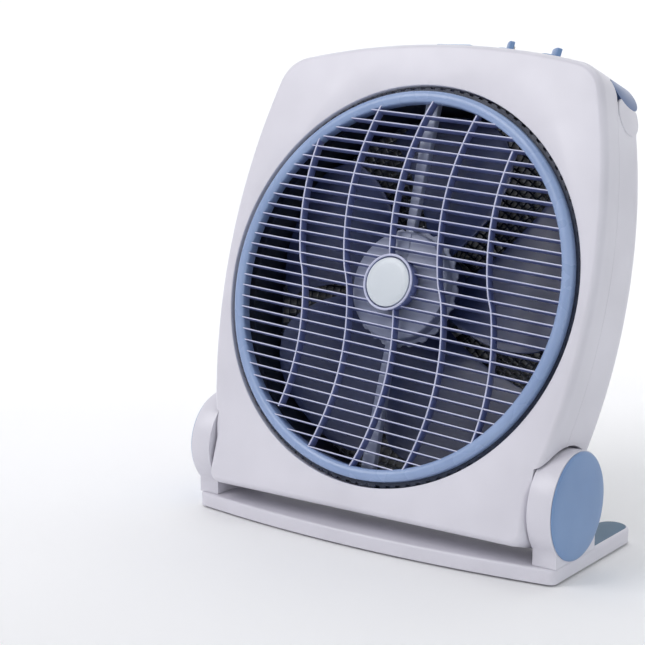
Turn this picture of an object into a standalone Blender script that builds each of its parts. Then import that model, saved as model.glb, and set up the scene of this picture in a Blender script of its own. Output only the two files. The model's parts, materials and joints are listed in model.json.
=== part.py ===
"""Box fan on a tilting stand, with a turning louvre grille, modelled piece by piece.

World frame: metres, +Z up, the floor at z = 0, the fan blows towards -Y, +X is the fan's own
right-hand side as a viewer in front of it sees it. The body leans back about the two side pivots.

Body frame (everything above the stand): x as in the world, y = depth behind the front panel's flat
face, z = height along the body, with its origin in the middle of the round front opening.
"""

import math

import bmesh
import bpy
from mathutils import Matrix, Vector

# ---------------------------------------------------------------- driving dimensions (metres, degrees)
GAP = 0.0003                 # clearance between pieces that touch
ORIGIN_SHIFT_Y = -0.0418     # puts the middle of the whole fan's depth over the origin

OPENING_R = 0.195            # round opening in the front shell
TILT = 17.6                  # lean of the body at rest
PIVOT_Y = -0.0088            # side pivots, before the origin shift
PIVOT_Z = 0.0657
PIVOT_DEPTH = 0.0462         # pivots in the body frame
PIVOT_HEIGHT = -0.1749

WALL = 0.0026
SEAM = 0.0290                # parting plane between the front and the rear shell
REAR = 0.0820                # flat rear face
CHEEK = 0.1808               # body half-width between the pillars
SIDE_R = 0.642               # barrel-shaped sides
SIDE_X = 0.2095
SIDE_Z = 0.015
TOP_R = 0.800                # arched top
TOP_Z = 0.2375
CORNER_R = 0.038
BOTTOM_Z = -0.220
BOTTOM_CORNER_R = 0.005

NOTCH_R = 0.0530             # cut-out in the body's lower corners that clears the pillars
PILLAR_R = 0.0515
PILLAR_IN = 0.1825
PILLAR_OUT = 0.2058
COLUMN_HALF = 0.0375
CAP_R = 0.0475

BASE_TOP = 0.0160
BASE_UNDER = 0.0022
BASE_HALF = 0.2045
BASE_BOW = 0.0175            # how far the front edge bows forward in the middle
BASE_FRONT = -0.0655
BASE_BAR_REAR = 0.0300
FOOT_IN = 0.1720
FOOT_END = 0.0980

GRILLE_RING_OUT = 0.1890
GRILLE_RING_IN = 0.1775
GRILLE_HUB_R = 0.0265
GRILLE_TURN = -4.05          # how far the louvre grille has turned at rest
SLAT_PITCH = 0.0108
SLAT_STEP = 2                # every second slat is modelled here
SLAT_THICK = 0.0017
SLAT_FRONT = -0.0030
SLAT_REAR = 0.0055
RIB_PITCH = 0.0547
RIB_SWING = 0.0187
RIB_THICK = 0.0022

REAR_OPENING_R = 0.1860
DUCT_WALL = 0.0024
BLADE_TIP_R = 0.1770
HUB_R = 0.0450
BLADE_COUNT = 5

PANEL_X0 = -0.0145
PANEL_X1 = 0.1425
PANEL_Y0 = 0.0095
PANEL_Y1 = 0.0565
CONTROL_DEPTH = 0.0330
SPEED_X = 0.1130
TIMER_X = 0.0640
BUTTON_X = 0.0115

FINISHES = {                 # colour, roughness, metallic
    "white_abs": ((0.70, 0.69, 0.75), 0.35, 0.0),
    "blue_abs": ((0.19, 0.29, 0.47), 0.32, 0.0),
    "grille_blue": ((0.36, 0.43, 0.68), 0.35, 0.0),
    "pale_disc": ((0.66, 0.67, 0.74), 0.40, 0.0),
    "blade_tint": ((0.07, 0.08, 0.19), 0.18, 0.0),
    "guard_dark": ((0.05, 0.06, 0.10), 0.45, 0.0),
    "panel_cream": ((0.80, 0.79, 0.72), 0.45, 0.0),
    "inlay_grey": ((0.12, 0.17, 0.22), 0.70, 0.0),
    "black_abs": ((0.02, 0.02, 0.02), 0.50, 0.0),
    "rubber": ((0.03, 0.03, 0.03), 0.85, 0.0),
    "nylon": ((0.75, 0.75, 0.70), 0.50, 0.0),
    "steel": ((0.55, 0.55, 0.55), 0.30, 1.0),
    "copper": ((0.60, 0.27, 0.12), 0.40, 1.0),
    "lamination": ((0.20, 0.20, 0.21), 0.50, 0.8),
}

for old in list(bpy.data.objects):
    bpy.data.objects.remove(old)


# ---------------------------------------------------------------- making, joining and placing solids
def finish(name):
    """The shared material of one finish, made on first use."""
    found = bpy.data.materials.get(name)
    if found:
        return found
    colour, roughness, metallic = FINISHES[name]
    made = bpy.data.materials.new(name)
    made.use_nodes = True
    shader = made.node_tree.nodes["Principled BSDF"]
    shader.inputs["Base Color"].default_value = (*colour, 1.0)
    shader.inputs["Roughness"].default_value = roughness
    shader.inputs["Metallic"].default_value = metallic
    return made


def solid(name, points, faces, look="white_abs"):
    """One closed mesh object from points and faces, its faces pointing out."""
    mesh = bpy.data.meshes.new(name)
    mesh.from_pydata([tuple(p) for p in points], [], faces)
    work = bmesh.new()
    work.from_mesh(mesh)
    bmesh.ops.remove_doubles(work, verts=work.verts, dist=1e-7)
    bmesh.ops.dissolve_degenerate(work, edges=work.edges, dist=1e-8)
    bmesh.ops.recalc_face_normals(work, faces=work.faces)
    work.to_mesh(mesh)
    work.free()
    made = bpy.data.objects.new(name, mesh)
    bpy.context.scene.collection.objects.link(made)
    mesh.materials.append(finish(look))
    return made


def loft(name, rings, look="white_abs", closed=False):
    """Skin a row of rings that have equal counts; open rows get flat ends."""
    count = len(rings[0])
    points = [p for ring in rings for p in ring]
    faces = []
    rows = len(rings) if closed else len(rings) - 1
    for row in range(rows):
        low = row * count
        high = ((row + 1) % len(rings)) * count
        for i in range(count):
            j = (i + 1) % count
            faces.append((low + i, low + j, high + j, high + i))
    if not closed:
        faces.append(tuple(range(count)))
        faces.append(tuple(range((len(rings) - 1) * count, len(rings) * count)))
    return solid(name, points, faces, look)


def circle(radius, count, start=0.0):
    """Points (a, b) on a circle."""
    steps = [start + 2 * math.pi * i / count for i in range(count)]
    return [(radius * math.cos(a), radius * math.sin(a)) for a in steps]


def along(axis, a, b, t):
    """A point at (a, b) across the named axis and t along it."""
    if axis == "X":
        return Vector((t, a, b))
    if axis == "Y":
        return Vector((a, t, b))
    return Vector((a, b, t))


def turned(name, profile, count, look="white_abs", axis="Y", closed=False, at=(0, 0, 0)):
    """A turned solid from (radius, position) pairs, plain ended or, if closed, a ring."""
    place = Vector(at)
    rings = []
    for radius, t in profile:
        rings.append([place + along(axis, a, b, t) for a, b in circle(radius, count)])
    if closed:
        return loft(name, rings, look, closed=True)
    first = [place + along(axis, 0, 0, profile[0][1])] * count
    last = [place + along(axis, 0, 0, profile[-1][1])] * count
    points = [p for ring in [first, *rings, last] for p in ring]
    faces = []
    for row in range(len(profile) + 1):
        for i in range(count):
            j = (i + 1) % count
            low = row * count
            faces.append((low + i, low + j, low + count + j, low + count + i))
    return solid(name, points, faces, look)


def rod(name, radius, t0, t1, count=20, look="steel", axis="Y", at=(0, 0, 0)):
    return turned(name, [(radius, t0), (radius, t1)], count, look, axis, at=at)


def tube(name, inner, outer, t0, t1, count=24, look="white_abs", axis="Y", at=(0, 0, 0)):
    profile = [(inner, t0), (outer, t0), (outer, t1), (inner, t1)]
    return turned(name, profile, count, look, axis, closed=True, at=at)


def box(name, low, high, look="white_abs"):
    (x0, y0, z0), (x1, y1, z1) = low, high
    rings = [[(x0, y0, z), (x1, y0, z), (x1, y1, z), (x0, y1, z)] for z in (z0, z1)]
    return loft(name, rings, look)


def prism(name, outline, layers, look="white_abs", axis="Z"):
    """An outline (or a function of inset) stacked at (position, inset) layers along an axis."""
    rings = []
    for t, inset in layers:
        flat = outline(inset) if callable(outline) else outline
        rings.append([along(axis, a, b, t) for a, b in flat])
    return loft(name, rings, look)


def combine(target, tool, operation):
    """Boolean the tool into the target and throw the tool away."""
    step = target.modifiers.new("combine", "BOOLEAN")
    step.operation = operation
    step.solver = "EXACT"
    step.object = tool
    bpy.context.view_layer.update()
    graph = bpy.context.evaluated_depsgraph_get()
    result = bpy.data.meshes.new_from_object(target.evaluated_get(graph))
    target.modifiers.clear()
    tidy = bmesh.new()
    tidy.from_mesh(result)
    bmesh.ops.remove_doubles(tidy, verts=tidy.verts, dist=2e-6)
    bmesh.ops.dissolve_degenerate(tidy, edges=tidy.edges, dist=1e-6)
    tidy.to_mesh(result)
    tidy.free()
    target.data = result
    tool_mesh = tool.data
    bpy.data.objects.remove(tool)
    bpy.data.meshes.remove(tool_mesh)
    keep = target.data.materials[0]
    target.data.materials.clear()
    target.data.materials.append(keep)
    return target


def cut(target, *tools):
    for tool in tools:
        combine(target, tool, "DIFFERENCE")
    return target


def join(target, *tools):
    for tool in tools:
        combine(target, tool, "UNION")
    return target


def moved(target, matrix):
    """Bake a placement into the mesh."""
    target.data.transform(matrix)
    return target


def seat(target, parent, smooth_angle=35.0):
    """Hang a finished piece on its parent and shade its round faces smooth."""
    target.data.shade_smooth()
    target.data.set_sharp_from_angle(angle=math.radians(smooth_angle))
    target.parent = parent
    return target


def marker(name, parent=None, location=(0, 0, 0), rotation=(0, 0, 0)):
    made = bpy.data.objects.new(name, None)
    bpy.context.scene.collection.objects.link(made)
    made.parent = parent
    made.location = location
    made.rotation_euler = rotation
    return made


# ---------------------------------------------------------------- frames and joint axes
stand = marker("stand_frame", location=(0, ORIGIN_SHIFT_Y, 0))
tilt = marker("tilt_axis", stand, (0, PIVOT_Y, PIVOT_Z), (-math.radians(TILT), 0, 0))
body = marker("body_frame", tilt, (0, -PIVOT_DEPTH, -PIVOT_HEIGHT))
louvre = marker("louvre_axis", body, (0, 0, 0), (0, -math.radians(GRILLE_TURN), 0))
fan_axis = marker("fan_axis", body)


def top_height(x, inset=0.0):
    """Height of the arched top at x."""
    return TOP_Z - TOP_R + math.sqrt((TOP_R - inset) ** 2 - x * x)


def control_axis(name, x):
    """A frame on the panel, its Z along the local normal of the arched top."""
    lean = math.asin(x / TOP_R)
    return marker(name, body, (x, CONTROL_DEPTH, top_height(x)), (0, lean, 0))


speed_axis = control_axis("speed_axis", SPEED_X)
timer_axis = control_axis("timer_axis", TIMER_X)
button_axis = control_axis("button_axis", BUTTON_X)


# ---------------------------------------------------------------- the body's outline
SIDE_CENTRE = Vector((SIDE_X - SIDE_R, SIDE_Z))
TOP_CENTRE = Vector((0.0, TOP_Z - TOP_R))


def corner_centre():
    """Centre of the top corner arc, tangent to the side arc and to the top arc inside."""
    near = SIDE_R - CORNER_R
    far = TOP_R - CORNER_R
    apart = TOP_CENTRE - SIDE_CENTRE
    span = apart.length
    along_line = (near ** 2 - far ** 2 + span ** 2) / (2 * span)
    off_line = math.sqrt(near ** 2 - along_line ** 2)
    unit = apart / span
    side = Vector((-unit.y, unit.x))
    return SIDE_CENTRE + unit * along_line + side * off_line


CORNER = corner_centre()


def bearing(centre, point):
    return math.atan2(point.y - centre.y, point.x - centre.x)


CORNER_LOW = bearing(SIDE_CENTRE, CORNER)
CORNER_HIGH = bearing(TOP_CENTRE, CORNER)


def spread(first, last, count):
    return [first + (last - first) * i / (count - 1) for i in range(count)]


def edge_stations(start_height, side_count=6, corner_count=4, top_count=5):
    """(centre, radius, angle) along the right-hand edge from a height up to the top middle."""
    begin = math.asin((start_height - SIDE_Z) / SIDE_R)
    rows = [(SIDE_CENTRE, SIDE_R, a) for a in spread(begin, CORNER_LOW, side_count)]
    rows += [(CORNER, CORNER_R, a) for a in spread(CORNER_LOW, CORNER_HIGH, corner_count)[1:]]
    rows += [(TOP_CENTRE, TOP_R, a) for a in spread(CORNER_HIGH, math.pi / 2, top_count)[1:]]
    return rows


def edge_point(station, inset):
    centre, radius, angle = station
    reach = radius - inset
    return (centre.x + reach * math.cos(angle), centre.y + reach * math.sin(angle))


def mirrored(half):
    """Close a right-hand half outline, which starts at the bottom and ends at the top middle."""
    return half + [(-x, z) for x, z in reversed(half[:-1])]


def body_outline(inset, bottom):
    cheek = CHEEK - inset
    corner = max(BOTTOM_CORNER_R - inset, 0.001)
    half = []
    for angle in spread(-math.pi / 2, 0, 4):
        half.append((cheek - corner + corner * math.cos(angle),
                     bottom + corner + corner * math.sin(angle)))
    reach = SIDE_R - inset
    join_height = SIDE_Z - reach * math.sin(math.acos((cheek - SIDE_CENTRE.x) / reach))
    half += [edge_point(s, inset) for s in edge_stations(join_height)]
    return mirrored(half)


def body_block(name, layers):
    """A block of the body's outer or inner form from (depth, inset, bottom) layers."""
    rings = []
    for depth, inset, bottom in layers:
        rings.append([along("Y", x, z, depth) for x, z in body_outline(inset, bottom)])
    return loft(name, rings)


def notch_cutters(grow):
    """The two side cylinders that clear the pillars, grown by the wall for the inner form."""
    tools = []
    for side in (-1, 1):
        x0 = side * (CHEEK - grow)
        x1 = side * 0.25
        tools.append(rod(f"notch{side}", NOTCH_R + grow, x0, x1, 24, axis="X",
                         at=(0, PIVOT_DEPTH, PIVOT_HEIGHT)))
    return tools


HANDLE_LOW = 0.194           # lowest point of the handle's shoulder lobes
REBATE_LOW = 0.152
LOBE_Y0 = 0.0330
BAR_Y0 = 0.0605
BAR_Y1 = 0.0812
LOBE_X = 0.1765              # beyond this the shoulder lobes have their full depth
BAR_X = 0.1520               # within this the handle is a narrow bar
HANDLE_THICK = 0.0105
HANDLE_CLEAR = 0.0015


def edge_strip(name, start_height, outside, inside, front, rear, look="white_abs"):
    """A strip that follows the body's edge over the top, between two insets and two depths."""
    half = []
    for station in edge_stations(start_height, 4, 5, 5):
        half.append((*edge_point(station, outside), *edge_point(station, inside)))
    rows = half + [(-a, b, -c, d) for a, b, c, d in reversed(half[:-1])]
    rings = []
    for x_out, z_out, x_in, z_in in rows:
        rings.append([Vector((x_out, front, z_out)), Vector((x_out, rear, z_out)),
                      Vector((x_in, rear, z_in)), Vector((x_in, front, z_in))])
    return loft(name, rings, look)


def bar_trim(clear):
    """What is cut from the front of the strip between the lobes: straight up, so that it can slide."""
    half = [(LOBE_X - clear, -0.0200), (LOBE_X - clear, LOBE_Y0 - clear), (BAR_X - clear, BAR_Y0 - clear)]
    outline = half + [(-x, y) for x, y in reversed(half)]
    return prism("trim", outline, [(0.150, 0), (0.300, 0)])


def rebate_cutter(grow):
    """The step along the rear top edge that the handle lies in."""
    clear = HANDLE_CLEAR + grow
    strip = edge_strip("rebate", REBATE_LOW - grow, -0.008, 0.0125 + grow, LOBE_Y0 - clear, 0.095)
    return cut(strip, bar_trim(clear))


def panel_window():
    return box("window", (PANEL_X0, PANEL_Y0, 0.205), (PANEL_X1, PANEL_Y1, 0.260))


# ---------------------------------------------------------------- front and rear shells
SCREW_PLACES = [(0.150, 0.165), (-0.150, 0.165), (0.150, -0.150), (-0.150, -0.150)]
GLAND_X = 0.150
GLAND_Z = -0.176


def make_front_shell():
    shell = body_block("front_shell", [
        (0.0, 0.0070, BOTTOM_Z + 0.0070), (0.0012, 0.0036, BOTTOM_Z + 0.0036),
        (0.0040, 0.0011, BOTTOM_Z + 0.0011), (0.0090, 0.0, BOTTOM_Z),
        (SEAM - GAP / 2, 0.0, BOTTOM_Z)])
    cut(shell, *notch_cutters(0.0))
    hollow = body_block("hollow", [
        (WALL, 0.0095, BOTTOM_Z + 0.0095), (0.0060, 0.0038, BOTTOM_Z + 0.0038),
        (0.0095, WALL, BOTTOM_Z + WALL), (0.050, WALL, BOTTOM_Z + WALL)])
    cut(hollow, *notch_cutters(WALL))
    cut(shell, hollow)
    collar = tube("collar", OPENING_R, OPENING_R + 0.0024, 0.0010, 0.0180, 40)
    join(shell, collar)
    for x, z in SCREW_PLACES:
        join(shell, rod("column", 0.0048, 0.0010, 0.0785, 8, at=(x, 0, z)))
        cut(shell, rod("pilot", 0.0022, 0.0560, 0.0900, 6, at=(x, 0, z)))
    cut(shell, rod("opening", OPENING_R, -0.010, 0.010, 40), panel_window())
    return seat(shell, body)


def make_rear_shell():
    shell = body_block("rear_shell", [
        (SEAM + GAP / 2, 0.0, BOTTOM_Z), (0.0450, 0.0, BOTTOM_Z), (0.0660, 0.0005, -0.212),
        (0.0740, 0.0030, -0.207), (0.0790, 0.0080, -0.202), (REAR, 0.0160, -0.194)])
    cut(shell, *notch_cutters(0.0))
    cut(shell, rebate_cutter(0.0))
    hollow = body_block("hollow", [
        (0.0100, WALL, BOTTOM_Z + WALL), (0.0440, WALL, BOTTOM_Z + WALL),
        (0.0650, 0.0031, -0.2094), (0.0722, 0.0058, -0.2044), (0.0768, 0.0106, -0.1994),
        (REAR - WALL, 0.0180, -0.1916)])
    cut(hollow, *notch_cutters(WALL))
    cut(hollow, rebate_cutter(WALL))
    cut(shell, hollow)
    duct = tube("duct", REAR_OPENING_R, REAR_OPENING_R + DUCT_WALL, 0.0280, REAR - 0.001, 40)
    join(shell, duct)
    cut(shell, rod("rear_opening", REAR_OPENING_R, 0.060, 0.100, 40))
    for side in (-1, 1):
        centre = (0, PIVOT_DEPTH, PIVOT_HEIGHT)
        join(shell, rod("boss", 0.0120, side * 0.1655, side * (CHEEK - 0.001), 14, axis="X", at=centre))
        cut(shell, rod("bore", 0.0054, side * 0.1600, side * 0.2000, 12, axis="X", at=centre))
    for x, z in SCREW_PLACES:
        cut(shell, rod("hole", 0.0022, 0.0700, 0.0900, 6, at=(x, 0, z)))
    cut(shell, rod("inlet", 0.0066, 0.0700, 0.0900, 12, at=(GLAND_X, 0, GLAND_Z)))
    cut(shell, panel_window())
    return seat(shell, body)


# ---------------------------------------------------------------- carrying handle
TONGUE_IN = 0.1794           # straight guides that keep the handle on its way up
TONGUE_OUT = 0.1816
TONGUE_LOW = 0.1660


def make_handle():
    grip = edge_strip("handle", HANDLE_LOW, GAP, HANDLE_THICK, LOBE_Y0, BAR_Y1, "blue_abs")
    cut(grip, bar_trim(0.0))
    for side in (-1, 1):
        x0, x1 = sorted((side * TONGUE_IN, side * TONGUE_OUT))
        join(grip, box("tongue", (x0, 0.0450, TONGUE_LOW), (x1, 0.0630, HANDLE_LOW + 0.0020)))
    return seat(grip, body)


GUIDE_Y = 0.0545
GUIDE_Z = 0.1745
GUIDE_HALF_Y = 0.0215
GUIDE_HALF_Z = 0.0180


def make_handle_guide(name, side):
    """Oval cover that holds the handle's tongue, on a post below the tongue."""
    def plate(inset_from_side, count=28):
        ring = []
        for a, b in circle(1.0, count):
            y = GUIDE_Y + GUIDE_HALF_Y * a
            z = GUIDE_Z + GUIDE_HALF_Z * b
            angle = math.asin((z - SIDE_Z) / SIDE_R)
            x = SIDE_CENTRE.x + (SIDE_R - inset_from_side) * math.cos(angle)
            ring.append(Vector((side * x, y, z)))
        return ring
    cover = loft(name, [plate(0.0024), plate(-0.0006)])
    post = box("post", (0.1820, 0.0480, 0.1585), (0.1905, 0.0610, 0.1620))
    if side < 0:
        moved(post, Matrix.Scale(-1, 4, (1, 0, 0)))
        post.data.flip_normals()
    join(cover, post)
    return seat(cover, body)


# ---------------------------------------------------------------- louvre grille
def rib_x(index, z):
    """The S-shaped ribs: each sways left above the middle and right below it."""
    phase = math.sin(math.pi * z / 0.183)
    sway = math.copysign(abs(phase) ** 0.8, phase) * RIB_SWING
    return index * RIB_PITCH - sway


def make_grille():
    grille = turned("louvre_grille", [
        (GRILLE_RING_IN, -0.0015), (0.1798, -0.0040), (0.1832, -0.0046), (0.1868, -0.0036),
        (GRILLE_RING_OUT, 0.0), (GRILLE_RING_OUT, 0.0080), (GRILLE_RING_IN, 0.0080)],
        40, "grille_blue", closed=True)
    reach = GRILLE_RING_IN + 0.0040
    rows = int(GRILLE_RING_IN / SLAT_PITCH) // SLAT_STEP
    for row in range(-rows, rows + 1):
        middle = row * SLAT_PITCH * SLAT_STEP
        half = math.sqrt(reach ** 2 - middle ** 2)
        join(grille, box("slat", (-half, SLAT_FRONT, middle - SLAT_THICK / 2),
                         (half, SLAT_REAR, middle + SLAT_THICK / 2)))
    for index in range(-2, 3):
        end = math.sqrt(reach ** 2 - (index * RIB_PITCH) ** 2)
        front = SLAT_FRONT + 0.0002
        rear = SLAT_REAR - 0.0003
        rings = []
        for z in spread(-end, end, 9):
            left = rib_x(index, z) - RIB_THICK / 2
            right = left + RIB_THICK
            rings.append([(left, front, z), (right, front, z), (right, rear, z), (left, rear, z)])
        join(grille, loft("rib", rings))
    join(grille, turned("hub", [
        (0.0245, -0.0098), (GRILLE_HUB_R, -0.0088), (0.0285, -0.0025), (0.0285, 0.0050)], 28))
    cut(grille, rod("cap_seat", 0.0228, -0.0200, -0.0074, 28))
    cut(grille, rod("bore", 0.0040, -0.0040, 0.0200, 12))
    return seat(grille, louvre)


def make_grille_centre():
    cap = turned("grille_cap", [(0.0225, -0.0077), (0.0225, -0.0098), (0.0215, -0.0108), (0.0120, -0.0112)],
                 28, "pale_disc")
    shaft = rod("grille_shaft", 0.0035, -0.0036, 0.0170, 12)
    return [seat(cap, louvre), seat(shaft, louvre)]


def make_grille_drive():
    """The upright strut across the opening with the small gear motor that turns the grille."""
    bracket = turned("grille_bracket", [
        (0.0060, 0.0095), (0.0520, 0.0095), (0.0530, 0.0110), (0.0530, 0.0220), (0.0505, 0.0220),
        (0.0505, 0.0118), (0.0060, 0.0118)], 30, "pale_disc", closed=True)
    for low, high in ((0.0515, 0.1944), (-0.1944, -0.0515)):
        join(bracket, box("strut", (-0.0050, 0.0120, low), (0.0050, 0.0200, high)))
    points = []
    for index, (a, b) in enumerate(circle(1.0, 48)):
        radius = 0.0585 if index % 4 < 2 else 0.0560
        points.append((a * radius, b * radius))
    cover = prism("grille_bracket_cover", points, [(0.0223, 0), (0.0248, 0)], "pale_disc", "Y")
    motor = rod("grille_gear_motor", 0.0245, 0.0123, 0.0218, 20, "steel")
    cut(motor, rod("bore", 0.0040, 0.0100, 0.0180, 14))
    return [seat(bracket, body), seat(cover, body), seat(motor, body)]


# ---------------------------------------------------------------- fan rotor and motor
def blade(index):
    """One broad, twisted and forward-swept blade as a closed skin."""
    rows = 5
    across = 5
    root = HUB_R - 0.0014
    skins = []
    for face in (-1, 1):
        skin = []
        for row in range(rows):
            share = row / (rows - 1)
            radius = root + (BLADE_TIP_R - root) * share
            sweep = math.radians(16.0) * share ** 1.5
            half_angle = math.radians(27.0 + 3.0 * math.sin(math.pi * share))
            rise = 0.0155 - 0.0040 * share
            line = []
            for step in range(across):
                s = 2 * step / (across - 1) - 1
                angle = 2 * math.pi * index / BLADE_COUNT + sweep + half_angle * s
                thick = 0.0011 * (1 - 0.35 * s * s)
                depth = 0.0500 + rise * s + 0.0030 * (1 - s * s) + face * thick
                line.append(Vector((radius * math.cos(angle), depth, radius * math.sin(angle))))
            skin.append(line)
        skins.append(skin)
    front, rear = skins
    rings = [front[row] + list(reversed(rear[row])) for row in range(rows)]
    return loft("blade", rings)


def make_rotor():
    rotor = turned("fan_rotor", [
        (0.0043, 0.0362), (0.0410, 0.0362), (HUB_R, 0.0400), (HUB_R, 0.0650), (0.0420, 0.0650),
        (0.0420, 0.0412), (0.0095, 0.0394), (0.0095, 0.0600), (0.0043, 0.0600)], 20, "blade_tint",
        closed=True)
    for index in range(BLADE_COUNT):
        join(rotor, blade(index))
    core = turned("motor_rotor", [(0.0043, 0.0760), (0.0194, 0.0760), (0.0194, 0.0900), (0.0043, 0.0900)],
                  18, "lamination", closed=True)
    shaft = rod("motor_shaft", 0.0040, 0.0300, 0.0972, 12)
    nut = rod("blade_nut", 0.0110, 0.0275, 0.0358, 16, "black_abs")
    cut(nut, rod("thread", 0.0043, 0.0295, 0.0400, 12))
    return [seat(piece, fan_axis) for piece in (rotor, core, shaft, nut)]


def make_motor():
    front = turned("motor_front_bell", [
        (0.0093, 0.0660), (0.0120, 0.0660), (0.0120, 0.0700), (0.0400, 0.0700), (0.0420, 0.0715),
        (0.0420, 0.0828), (0.0397, 0.0828), (0.0397, 0.0725), (0.0093, 0.0725)], 22, "white_abs",
        closed=True)
    rear = turned("motor_rear_bell", [
        (0.0397, 0.0831), (0.0420, 0.0831), (0.0420, 0.0960), (0.0400, 0.0978), (0.0093, 0.0978),
        (0.0093, 0.0915), (0.0120, 0.0915), (0.0120, 0.0953), (0.0397, 0.0953)], 22, "white_abs",
        closed=True)
    stator = tube("motor_stator", 0.0200, 0.0392, 0.0755, 0.0905, 22, "copper")
    front_bearing = tube("motor_bearing_front", 0.0042, 0.0090, 0.0665, 0.0715, 14, "steel")
    rear_bearing = tube("motor_bearing_rear", 0.0042, 0.0090, 0.0920, 0.0965, 14, "steel")
    return [seat(piece, body) for piece in (front, rear, stator, front_bearing, rear_bearing)]


GUARD_RINGS = [0.0450, 0.0950, 0.1430, 0.1900]
GUARD_BARS = 16


def guard_depth(radius):
    share = min(radius / 0.183, 1.0)
    return REAR + GAP + 0.0195 * (1 - share * share)


def make_rear_guard():
    """A domed polar net: solid rings and bars with open cells between them."""
    radii = [0.0]
    for index, radius in enumerate(GUARD_RINGS):
        width = 0.0075 if index == len(GUARD_RINGS) - 1 else 0.0026
        radii += [radius - width, radius]
    angles = []
    for index in range(GUARD_BARS):
        middle = 2 * math.pi * index / GUARD_BARS
        angles += [middle - 0.014, middle + 0.014]
    columns = len(angles)
    thick = 0.0022

    def point(r, a, back):
        depth = guard_depth(r) + (thick if back else 0.0)
        return (r * math.cos(a), depth, r * math.sin(a))

    def is_solid(band, column):
        return band % 2 == 1 or column % 2 == 0 or band == 0

    points = []
    faces = []

    def add(*corners):
        start = len(points)
        points.extend(corners)
        faces.append(tuple(range(start, start + len(corners))))

    bands = len(radii) - 1
    for band in range(bands):
        r0, r1 = radii[band], radii[band + 1]
        for column in range(columns):
            if not is_solid(band, column):
                continue
            a0 = angles[column]
            a1 = angles[(column + 1) % columns]
            for back in (False, True):
                add(point(r0, a0, back), point(r1, a0, back), point(r1, a1, back), point(r0, a1, back))
            if not is_solid(band, (column - 1) % columns):
                add(point(r0, a0, 0), point(r1, a0, 0), point(r1, a0, 1), point(r0, a0, 1))
            if not is_solid(band, (column + 1) % columns):
                add(point(r0, a1, 0), point(r1, a1, 0), point(r1, a1, 1), point(r0, a1, 1))
            if band == bands - 1 or not is_solid(band + 1, column):
                add(point(r1, a0, 0), point(r1, a1, 0), point(r1, a1, 1), point(r1, a0, 1))
            if band > 0 and not is_solid(band - 1, column):
                add(point(r0, a0, 0), point(r0, a1, 0), point(r0, a1, 1), point(r0, a0, 1))
    return seat(solid("rear_guard", points, faces, "guard_dark"), body)


# ---------------------------------------------------------------- controls on the top
def button_outline(inset):
    """D-shaped button: hollow left side, straight top, bulging right side."""
    half_x = 0.0215 - inset
    half_y = 0.0165 - inset
    points = []
    for angle in spread(-65, 65, 7):
        turn = math.radians(angle)
        points.append((half_x - 0.0100 + 0.0100 * math.cos(turn), (half_y / 0.90631) * math.sin(turn)))
    for share in spread(1, -1, 7):
        points.append((-half_x + 0.0030 * (1 - share * share), half_y * share))
    return points


def make_panel():
    """The cream control panel, curved like the top it lies in."""
    rings = []
    for x in spread(PANEL_X0 + GAP, PANEL_X1 - GAP, 9):
        high = top_height(x, -0.0006)
        low = top_height(x, 0.0022)
        rings.append([(x, PANEL_Y0 + GAP, low), (x, PANEL_Y1 - GAP, low),
                      (x, PANEL_Y1 - GAP, high), (x, PANEL_Y0 + GAP, high)])
    panel = loft("control_panel", rings, "panel_cream")
    for axis in (speed_axis, timer_axis):
        hole = rod("shaft_hole", 0.0043, -0.010, 0.010, 16, axis="Z")
        cut(panel, moved(hole, local_matrix(axis)))
    window = prism("button_hole", button_outline, [(-0.010, -0.0004), (0.010, -0.0004)])
    cut(panel, moved(window, local_matrix(button_axis)))
    return seat(panel, body)


def local_matrix(axis):
    """Placement of a control's frame in the body frame."""
    return Matrix.Translation(axis.location) @ axis.rotation_euler.to_matrix().to_4x4()


def make_control_box():
    rings = []
    for x in spread(-0.0175, 0.1455, 7):
        high = top_height(x, 0.0032)
        rings.append([(x, 0.0125, 0.2005), (x, 0.0535, 0.2005), (x, 0.0535, high), (x, 0.0125, high)])
    tray = loft("control_box", rings, "black_abs")
    cut(tray, box("pocket", (-0.0155, 0.0145, 0.2025), (0.1435, 0.0515, 0.2600)))
    return seat(tray, body)


RIDGE_TOP = 0.0112


def knob_ridge():
    """Curved raised grip across the knob."""
    points = []
    for share in spread(-1, 1, 7):
        points.append((0.0150 * share, 0.0036 + 0.0014 * (1 - share * share)))
    for share in spread(1, -1, 7):
        points.append((0.0150 * share, -0.0036 + 0.0014 * (1 - share * share)))
    return points


def make_rotary(kind, axis, turn):
    """A knob and its shaft, turning together on one of the panel's axes."""
    knob = turned(f"{kind}_knob", [(0.0160, 0.0012), (0.0160, 0.0040), (0.0148, 0.0052)], 24, "blue_abs", "Z")
    ridge = prism("ridge", knob_ridge(), [(0.0045, 0), (RIDGE_TOP, 0)])
    join(knob, moved(ridge, Matrix.Rotation(turn, 4, "Z")))
    cut(knob, rod("shaft_seat", 0.0034, -0.0050, 0.0100, 14, axis="Z"))
    shaft = rod(f"{kind}_shaft", 0.0030, -0.0130, 0.0090, 14, "nylon", "Z")
    return [seat(knob, axis), seat(shaft, axis)]


def make_switches():
    speed = box("speed_switch", (-0.0120, -0.0120, -0.0205), (0.0120, 0.0120, -0.0055), "black_abs")
    cut(speed, rod("bore", 0.0034, -0.0150, 0.0, 14, axis="Z"))
    timer = rod("timer_unit", 0.0160, -0.0215, -0.0055, 20, "nylon", "Z")
    cut(timer, rod("bore", 0.0034, -0.0150, 0.0, 14, axis="Z"))
    swing = box("swing_switch", (-0.0080, -0.0070, -0.0260), (0.0080, 0.0070, -0.0130), "black_abs")
    cut(swing, box("stem_bore", (-0.0034, -0.0034, -0.0230), (0.0034, 0.0034, 0.0)))
    return [seat(speed, speed_axis), seat(timer, timer_axis), seat(swing, button_axis)]


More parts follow.
